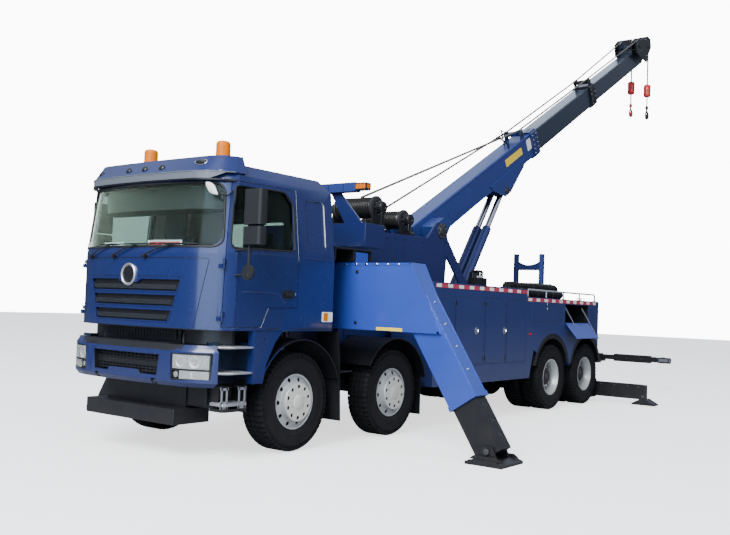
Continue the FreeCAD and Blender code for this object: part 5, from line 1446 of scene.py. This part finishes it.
rivets = Form("pedestal_bolts", "root", BLUE, CHROME, BLACK, DARK_STEEL)
for s in (1, -1):
    y, way, shape = s * 450, (0, s, 0), bolt(15, s * 12)
    for start, step, count in (((-1700, y, 1120), (-190, 0, 0), 13), ((-1640, y, 2540), (-230, 0, 4), 9),
                               ((-1560, y, 2180), (0, 0, 85), 5), ((-4090, y, 2020), (-8, 0, 150), 5)):
        copies(rivets, shape, start, step, count)
    rivets.turn([(0, 118), (10, 118), (14, 112), (14, 74), (30, 70), (34, 62), (34, 0)], (BOOM_X, y, BOOM_Z), way, 3,
                40)
    for a in angles(8):
        a += TURN / 16
        rivets.stud((BOOM_X + 94 * math.cos(a), y + s * 12, BOOM_Z + 94 * math.sin(a)), way, 9, 8, 2, 1, 1, 10)
    for x in (-1700, -2900):
        rivets.prism(rect(x, 1180, x - 60, 2500), "y", y, y + s * 10, 0, 3)
rivets.boxes(1, *((-1302, -1298, y, y + 40, 2340, 2346, 2, 0) for y in range(-980, 981, 280)),
             (-1320, -1680, -1020, 1020, 2608, 2618, 2, 3))
rivets.done()


# %% [markdown]
# Flanges, bolts, pins and beads ride on the boom section that carries them. Small tables give their
# places along and above the boom.

# %% Boom base: label, bolts, cylinder pin and the rope guide
def boom_plates(form, s, *rows):
    """Flat plates on the boom's side: span along, span across, y, thickness, material, corner radius."""
    for s0, s1, o0, o1, y, thick, material, radius in rows:
        corners = [on_boom(*p, 0) for p in rect(s0, o0, s1, o1, radius)]
        form.prism([(p[0], p[2]) for p in corners], "y", s * y, s * (y + thick), material, 1)


def boom_studs(form, s, y, places, *size):
    for along, above in places:
        form.stud(on_boom(along, above, s * y), (0, s, 0), *size)


def boom_line(form, stations, above, y, radius, material):
    form.tube([on_boom(along, above, y) for along in stations], radius, material, 8)


base = Form("boom_base_trim", "boom_base", YELLOW, MEDIUM, BLACK, CHROME, DARK_STEEL, WHITE, BLUE)
for s in (1, -1):
    # The white plate from 3790 to 3965 along the boom is a painted highlight: a pale patch of reflected light on the
    # boom's side.
    boom_plates(base, s, (2870, 3560, -23, 108, 176, 1.5, 0, 14), (3790, 3965, -50, 160, 176, 1.5, 5, 30),
                (700, 1500, -120, 120, 176, 8, 1, 40),
                *((along, along + 70, -215, 215, 210, 6, 6, 12) for along in (3990, 4150)))
    boom_studs(base, s, 216, [(p, o) for o in range(-170, 171, 85) for p in (4025, 4185)], 13, 10, 3, 2, 3, 12)
    base.turn([(0, 74), (8, 74), (12, 68), (12, 40), (20, 36), (20, 0)], on_boom(2680, -395, s * 192), (0, s, 0), 4, 32)
    boom_studs(base, s, 165, [(3700, 332)], 52, 8, 6, 4, 4, 24)
    for above in (-205, 205):
        boom_line(base, (300, 1500, 3000, 3950), above, s * 178, 6, 1)
for y, radius, path in ((120, 14, ((3202, 222), (3196, 300), (3080, 400), (2896, 521))),
                        (-60, [14, 14, 13, 12], ((3391, 224), (3391, 516), (3572, 379), (3640, 300)))):
    base.tube([on_boom(*p, y) for p in path], radius, 2, 10)
base.turn([(-30, 26), (30, 26), (30, 0)], on_boom(2896, 521, 120), LEFT, 4, 20)
base.done()

middle_trim = Form("boom_middle_trim", "boom_middle", SLATE, BLACK, CHROME, DARK_STEEL, GREY)
for s in (1, -1):
    boom_plates(middle_trim, s, *((along, along + 50, -195, 195, 192, 5, 1, 12) for along in (7090, 7290)))
    boom_studs(middle_trim, s, 197, [(p, o) for o in range(-150, 151, 100) for p in (7115, 7315)], 11, 9, 3, 2, 2, 12)
    boom_studs(middle_trim, s, 165, [(7180, 314)], 50, 8, 6, 4, 3, 24)
    for above in (-188, 188):
        boom_line(middle_trim, (4400, 5600, 7050), above, s * 156.5, 4, 0)
middle_trim.done()

GUIDE_SHEAVE, HEAD_SHEAVE = (10230, 300), (10838, 143)
tip_trim = Form("boom_head_trim", "boom_tip", BLACK, DARK_STEEL, CHROME, SLATE)
for s in (1, -1):
    for above in (-172, 172):
        boom_line(tip_trim, (7500, 8700, 9950), above, s * 140.5, 4, 3)
    boom_studs(tip_trim, s, 270, [HEAD_SHEAVE], 62, 6, 6, 4, 1, 30)
    boom_studs(tip_trim, s, 270, [GUIDE_SHEAVE], 50, 6, 6, 4, 1, 26)
    boom_studs(tip_trim, s, 270, ((10110, 370), (10420, 400), (10700, 330), (10960, 300), (10990, 100), (10600, -40),
                                  (10300, 160)), 12, 8, 3, 2, 2, 12)
    for place in ((10980, 286), (10600, 330), (10080, 250)):
        tip_trim.rod(13, on_boom(*place, s * 148), on_boom(*place, s * 268), 1, 12)
tip_trim.done()

# %% [markdown]
# A loaded wire rope is straight between its rollers. Each stretch has rings only at its two ends,
# and is left on no body.

# %% Ropes
ROPE_R, ROPE_Y = 18, 200
ROLLER_1, ROLLER_2 = (3700, 386), (7180, 368)


def arc(middle, radius, *degrees):
    """Points round a sheave's middle, along and above the boom."""
    return [(middle[0] + radius * math.cos(t), middle[1] + radius * math.sin(t)) for t in map(math.radians, degrees)]


for (side, s), (x, z, r, half) in zip(SIDES.items(), WINCHES):
    first, second = Vector(on_boom(*ROLLER_1, s * 120)), Vector(on_boom(*ROLLER_2, s * 120))
    head = Vector(on_boom(10160, 410, s * ROPE_Y))
    drum = Vector((x, s * 100, z))
    d = first - drum
    lift = math.atan2(d.z, -d.x) + math.asin((r - 6) / math.hypot(d.x, d.z))
    start = drum + (r - 6) * Vector((math.sin(lift), 0, math.cos(lift)))
    for name, low, high, a, b in (("low", "root", "boom_base", start, first),
                                  ("mid", "boom_base", "boom_middle", first, second),
                                  ("top", "boom_middle", "boom_tip", second, head)):
        rope = Form(f"rope_{name}_{side}", low, ROPE)
        rope.tube([a, b], ROPE_R, 0, 8)
        rope.done(blend=(low, high, at(*a), at(*b)))
    over = Form(f"rope_head_{side}", "boom_tip", ROPE)
    path = arc(GUIDE_SHEAVE, 132, 122, 105, 88, 72, 60) + arc(HEAD_SHEAVE, 174, 84, 66, 48, 30, 12, -6, -24, -42, -61)
    over.tube([on_boom(*p, s * ROPE_Y) for p in path], ROPE_R, 0, 8)
    over.done()

# %% [markdown]
# A forged hook has a thick back and a thin tip. A tube along an arc, with its own radius at each
# point, gives that in a few numbers.

# %% Hooks: weight, swivel and hook
HOOKS = {"left": (7254, 6934, 6394), "right": (7378, 7047, 6497)}    # the weight's top and foot, and the hook's tip
sheave = Vector(on_boom(*HEAD_SHEAVE, 0))
x = sheave.x - 190
hook_set = Form("hook_set", "hooks", RED, ROPE, DARK_STEEL, CHROME, BLACK)
for side, (top, low, tip_z) in HOOKS.items():
    s = SIDES[side]
    y, tall, paint = s * ROPE_Y, top - low, 2 if s > 0 else 0
    hook_set.rod(ROPE_R, (x, y, top - 4), (x, y, sheave.z), 1, 12)
    hook_set.turn([(0, 30), (10, 58), (26, 80), (40, 85), (140, 85), (146, 80), (158, 80), (164, 85), (tall - 40, 85),
                   (tall - 26, 80), (tall - 8, 46), (tall, 22)], (x, y, low), UP, 0, 36)
    hook_set.turn([(0, 16), (40, 14), (52, 10)], (x, y, top - 6), UP, 3, 16)
    hook_set.rod(20, (x, y, tip_z + 330), (x, y, low + 6), 3, 16)
    hook_set.turn([(0, 24), (8, 36), (40, 40), (60, 40), (66, 30), (84, 26), (90, 18)], (x, y, tip_z + 240), UP,
                  paint, 28)
    bend = [(0, 150), (0, 112)] + arc((0, 0), 75, 112, *range(135, 336, 25), 358) + [(86, 26), (94, 44)]
    thick = [21, 22, 24, 26, 29, 32, 34, 35, 34, 31, 27, 23, 18, 13, 7]
    hook_set.tube([(x + dx, y, tip_z + 101 + dz) for dx, dz in bend], thick, paint, 14)
    catch = [(x + 4, tip_z + 196), (x + 20, tip_z + 206), (x + 92, tip_z + 134), (x + 80, tip_z + 122)]
    hook_set.prism(catch, "y", y - 9, y + 9, 4, 2)
hook_set.done(replaces=("hooks",))

# %% [markdown]
# ## Outriggers, rear legs and underlift
# The front outriggers slide out on their lanes, and a leg slides down inside each housing. Plates,
# flanges, bolts, pins and labels ride on the body that carries them.

# %% Front outriggers
LEG_TILT = math.radians(57.3)
LANES = {"left": (-910, -1210), "right": (-590, -890)}


def on_leg(x, a, c, s):
    """A place on the leg: a down along it, c across it towards the outside."""
    return (x, s * (a * math.cos(LEG_TILT) + c * math.sin(LEG_TILT)), -a * math.sin(LEG_TILT) + c * math.cos(LEG_TILT))


def leg_bars(form, s, *rows):
    """Straight bars on the leg: x0, x1, span along, span across, material, bevel."""
    for x0, x1, a0, a1, c0, c1, material, bevel in rows:
        form.prism([on_leg(0, *p, s)[1:] for p in rect(a0, c0, a1, c1)], "x", x0, x1, material, bevel)


for side, s in SIDES.items():
    front_x, rear_x = LANES[side]
    across = (0, s * math.sin(LEG_TILT), math.cos(LEG_TILT))
    plate = Form(f"outrigger_trim_{side}", f"front_outrigger_{side}", BRIGHT, YELLOW, CHROME, BLACK, PLASTIC)
    face = front_x + 10
    for corners in (((862, 1322), (2400, 1322), (2388, 1346), (862, 1346)),
                    ((2404, 1322), (2004, 2093), (1978, 2080), (2372, 1322)),
                    ((2003, 2093), (862, 2093), (862, 2069), (1990, 2069)),
                    ((862, 2090), (862, 1324), (886, 1324), (886, 2090))):
        plate.prism([(s * y, z) for y, z in corners], "x", face, face + 5, 0, 2)
    plate.prism(rect(s * 1555, 1326, s * 1914, 1362), "x", face + 5, face + 7, 1, 0)
    for start, step, count in (((face + 5, s * 930, 2078), (0, s * 150, 0), 7),
                               ((face + 5, s * 874, 1420), (0, 0, 150), 5)):
        copies(plate, bolt(11, 9, "x"), start, step, count, 2)
    x0, x1 = rear_x + 20, front_x - 20
    leg_bars(plate, s, (x0 - 8, x1 + 8, 905, 958, 2411, 2420, 0, 3), (x0 - 8, x1 + 8, 905, 958, 2775, 2784, 0, 3),
             (x0 - 9, x0, 905, 958, 2412, 2783, 0, 3), (x1, x1 + 9, 905, 958, 2412, 2783, 0, 3),
             *((x, x + 8, -540, 890, 2775, 2779, 0, 1) for x in (x0 + 18, x1 - 26)))
    for a in range(-480, 641, 280):
        plate.stud(on_leg((x0 + x1) / 2, a, 2776, s), across, 16, 6, 4, 2, 2, 14)
    for z in (1400, 1990):
        plate.stud((face, s * 1250, z), FORWARD, 20, 8, 5, 2, 3, 16)
    plate.tube([(rear_x + dx, s * y, z) for dx, y, z in ((60, 900, 2096), (60, 1050, 2092), (55, 1500, 2094),
                                                         (60, 1900, 2098))], 13, 4, 10)
    plate.done()

    foot = Form(f"leg_trim_{side}", f"front_leg_{side}", BLACK, DARK_STEEL, CHROME)
    mid = (front_x + rear_x) / 2
    for way in (-1, 1):
        foot.stud((mid + way * 172, s * 3015, 140), (way, 0, 0), 34, 8, 6, 2, 1, 20)
    gusset = [(s * y, z) for y, z in ((2835, 58), (3205, 58), (3150, 96), (2890, 96))]
    for x in (mid - 205, mid + 190):
        foot.prism(gusset, "x", x, x + 15, 0, 3)
    for y in (2840, 3200):
        for x in (mid - 200, mid + 200):
            foot.stud((x, s * y, 36), UP, 15, 7, 4, 2, 1, 12)
    for a in (1060, 1230, 1400):
        foot.turn([(-3, 26), (2, 26), (2, 20), (-3, 18), (-3, 0)], on_leg(mid, a, 2753, s), across, 1, 20)
    leg_bars(foot, s, *((x, x + 5, 980, 1540, 2751, 2755, 0, 1) for x in (rear_x + 43, front_x - 48)))
    foot.done()

# %% [markdown]
# The rear legs are beams that slide out of a sleeve under the tail. Bolts, wear strips and gussets
# ride on each beam.

# %% Rear legs
for side, s in SIDES.items():
    x0, x1 = (-8442, -8547) if s > 0 else (-8563, -8668)
    leg = Form(f"rear_leg_trim_{side}", f"rear_outrigger_{side}", BLACK, DARK_STEEL, YELLOW, CHROME)
    leg.boxes(s, (x0 - 4, x1 + 4, 1120, 1990, 359, 364, 0, 2), (x0 - 2, x1 + 2, 1990, 2078, 120, 340, 0, 4))
    for y in (1250, 1500, 1750, 1950):
        for x, way in ((x0 + 1, 1), (x1 - 1, -1)):
            leg.stud((x, s * y, 320), (way, 0, 0), 14, 7, 4, 2, 1, 12)
    leg.stud(((x0 + x1) / 2, s * 2035, 150), FORWARD, 30, 78, 4, 2, 1, 20, -78)
    for x in (-8665, -8445):
        leg.prism([(s * y, z) for y, z in ((1880, 26), (2200, 26), (2090, 106), (1985, 106))], "x", x - 6, x + 6, 0, 2)
    leg.done()

sleeve = Form("rear_sleeve_trim", "root", BLACK, DARK_STEEL, CHROME, ORANGE)
for s in (1, -1):
    for z, height in ((70, -10), (390, 10)):
        copies(sleeve, bolt(14, height, "z"), (-8455, s * 1030, z), (-65, 0, 0), 4, 1)
    sleeve.boxes(s, *((-8436, -8674, 1040, 1064, z, z + 10, 0, 2) for z in (60, 390)))
    for z in (480, 640, 800, 960):
        sleeve.stud((-8410, s * 340, z), (-1, 0, 0), 17, 10, 5, 2, 1, 14)
    sleeve.stud((-8520, s * 180, 640), (0, s, 0), 62, 12, 6, 2, 1, 28)
sleeve.done()

# %% [markdown]
# The underlift holds a towed vehicle by its front axle. Its beam, arm and crossbar are separate
# bodies, so each gets its own wear plates, bolts and pins.

# %% Underlift
lift_trim = Form("underlift_boom_trim", "underlift_boom", BLACK, DARK_STEEL, YELLOW, CHROME)
for s in (1, -1):
    lift_trim.boxes(s, (-8760, -9960, 130, 136, 610, 670, 0, 2), (-9990, -10050, 130, 140, 530, 750, 0, 3))
    for x in (-8800, -9200, -9600, -9940):
        lift_trim.stud((x, s * 136, 640), (0, s, 0), 15, 8, 4, 2, 1, 14)
lift_trim.boxes(1, (-9990, -10050, -140, 140, 750, 760, 0, 3), (-8800, -9900, -60, 60, 750, 756, 0, 2))
lift_trim.done()

SWIVEL_X = -11550
arm = Form("underlift_arm_trim", "underlift_arm", BLACK, DARK_STEEL, CHROME)
for x in range(-10180, -11081, -180):
    arm.turn([(-2, 22), (2, 22), (2, 16), (-3, 14), (-3, 0)], (x, 0, 728), UP, 1, 20)
arm.stud((SWIVEL_X, 0, 735), UP, 66, 8, 6, 4, 1, 30)
for s in (1, -1):
    arm.prism([(-11315, 555), (-11120, 555), (-11120, 600), (-11200, 640), (-11315, 640)], "y", s * 60, s * 84, 0, 3)
arm.done()

cross = Form("crossbar_trim", "crossbar", BLACK, DARK_STEEL, CHROME, GREY)
for s in (1, -1):
    for way in (1, -1):
        for y in (300, 620, 940):
            cross.stud((SWIVEL_X + way * 70, s * y, 675), (way, 0, 0), 15, 7, 4, 2, 1, 12)
    cross.turn([(0, 46), (8, 46), (10, 40), (10, 28), (0, 27)], (SWIVEL_X, s * 1200, 725), UP, 1, 28)
    cross.boxes(s, *((SWIVEL_X + half, SWIVEL_X - half, y0, y1, z0, z1, material, bevel)
                     for half, y0, y1, z0, z1, material, bevel in (
                         (72, 330, 1120, 598, 630, 0, 8), (72, 330, 1120, 722, 752, 0, 8),
                         (44, 1290, 1538, 612, 644, 0, 6), (44, 1290, 1538, 706, 732, 0, 6),
                         (50, 1500, 1520, 630, 720, 1, 4))))
    cross.tube([(SWIVEL_X, s * y, z) for y, z in ((1350, 712), (1350, 742), (1410, 742), (1410, 712))], 7, 2, 8)
cross.done()


# %% [markdown]
# ## Floor, light and camera
# The floor and the sky look white to the camera, but light the truck much less than they show.

# %% Floor
def stage_floor():
    middle, reach, drop = at(-4000, 0, 0), 60, -0.001
    corners = [middle + Vector((x, y, drop)) for x, y in rect(-reach, -reach, reach, reach)]
    bm = bmesh.new()
    bm.faces.new([bm.verts.new(p) for p in corners])
    mesh = as_mesh(bm)
    m = Mat("floor", Emission_Strength=1.0)
    cloud = m.noise(0.9, 6.0, 0.6)
    seen = m.node("ShaderNodeLightPath")
    base = m.mix(seen, (0.26, 0.26, 0.27), m.mix(cloud, (0.72, 0.72, 0.73), (0.78, 0.78, 0.79)))
    glow = m.mix(seen, (0.0, 0.0, 0.0), (1.4, 1.4, 1.4))
    mesh.materials.append(m.out(Base_Color=base, Roughness=cloud.span(0, 1, 0.72, 0.86), Emission_Color=glow))
    floor = bpy.data.objects.new("floor", mesh)
    bpy.context.scene.collection.objects.link(floor)


stage_floor()

# %% [markdown]
# One large soft lamp gives the light and its direction, and three weaker and bluer ones open the
# shadows.

# %% Lamps: name, place from the truck's middle, width, power, tint
LAMPS = (("key", (18, 4, 13), 11, 7600, (1, 1, 1)),
         ("front", (21, 7, 4.5), 13, 2300, (0.62, 0.80, 1.0)),
         ("fill", (4, 18, 8), 13, 1700, (0.92, 0.95, 1.0)),
         ("back", (-14, -9, 14), 14, 900, (0.66, 0.80, 1.0)))
for name, away, size, power, tint in LAMPS:
    light = bpy.data.lights.new(name, "AREA")
    light.shape, light.size, light.energy, light.color = "SQUARE", size, power, tint
    lamp = bpy.data.objects.new(name, light)
    bpy.context.scene.collection.objects.link(lamp)
    lamp.location = at(-4000, 0, 2000) + Vector(away)
    lamp.rotation_euler = (-Vector(away)).to_track_quat("-Z", "Y").to_euler()
print(len(LAMPS), "lamps")

# %% Sky
HORIZON, OVERHEAD = (0.045, 0.055, 0.075), (0.52, 0.58, 0.70)
THROUGH_GLASS, BACKDROP = (3.4, 4.0, 3.2), (11.0, 11.0, 11.0)


def soft_sky():
    """White behind the truck for the camera; for lighting, dim at the horizon and brighter overhead."""
    world = bpy.data.worlds.new("soft_sky")
    bpy.context.scene.world = world
    world.use_nodes = True
    new, link = world.node_tree.nodes.new, world.node_tree.links.new

    def mix(share, low, high):
        node = new("ShaderNodeMix")
        node.data_type = "RGBA"
        node.inputs[7].default_value = (*high, 1)
        link(share, node.inputs[0])
        if isinstance(low, tuple):
            node.inputs[6].default_value = (*low, 1)
        else:
            link(low, node.inputs[6])
        return node.outputs[2]

    ray, way = new("ShaderNodeLightPath").outputs, new("ShaderNodeTexCoord").outputs
    split, height = new("ShaderNodeSeparateXYZ"), new("ShaderNodeMapRange")
    height.inputs["From Min"].default_value, height.inputs["From Max"].default_value = 0.0, 0.7
    link(way["Generated"], split.inputs[0])
    link(split.outputs["Z"], height.inputs[0])
    direct, glass = new("ShaderNodeMath"), new("ShaderNodeMath")
    direct.operation, glass.operation = "LESS_THAN", "MULTIPLY"
    direct.inputs[1].default_value = 0.5
    link(ray["Diffuse Depth"], direct.inputs[0])
    link(direct.outputs[0], glass.inputs[0])
    link(ray["Is Transmission Ray"], glass.inputs[1])
    dome = mix(height.outputs[0], HORIZON, OVERHEAD)
    shown = mix(ray["Is Camera Ray"], mix(glass.outputs[0], dome, THROUGH_GLASS), BACKDROP)
    link(shown, world.node_tree.nodes["Background"].inputs["Color"])


soft_sky()

# %% [markdown]
# The camera stands low, ahead of the left front corner, and leans a little.

# %% Camera
YAW, PITCH, ROLL = math.radians(-142.99), math.radians(2.57), math.radians(2.15)
CAMERA_PLACE, LENS_MM, SENSOR_MM, SIGHT = (7049, 7351, 1593), 42.47, 36, 200
forward = Vector((math.cos(YAW) * math.cos(PITCH), math.sin(YAW) * math.cos(PITCH), math.sin(PITCH)))
right = forward.cross(Vector(UP)).normalized()
up = right.cross(forward)
basis = Matrix((right * math.cos(ROLL) + up * math.sin(ROLL), up * math.cos(ROLL) - right * math.sin(ROLL), -forward))
camera = bpy.data.objects.new("camera", bpy.data.cameras.new("camera"))
bpy.context.scene.collection.objects.link(camera)
camera.matrix_world = Matrix.Translation(at(*CAMERA_PLACE)) @ basis.transposed().to_4x4()
camera.data.lens, camera.data.sensor_width, camera.data.clip_end = LENS_MM, SENSOR_MM, SIGHT
bpy.context.scene.camera = camera
print("camera with a", LENS_MM, "mm lens at", CAMERA_PLACE)
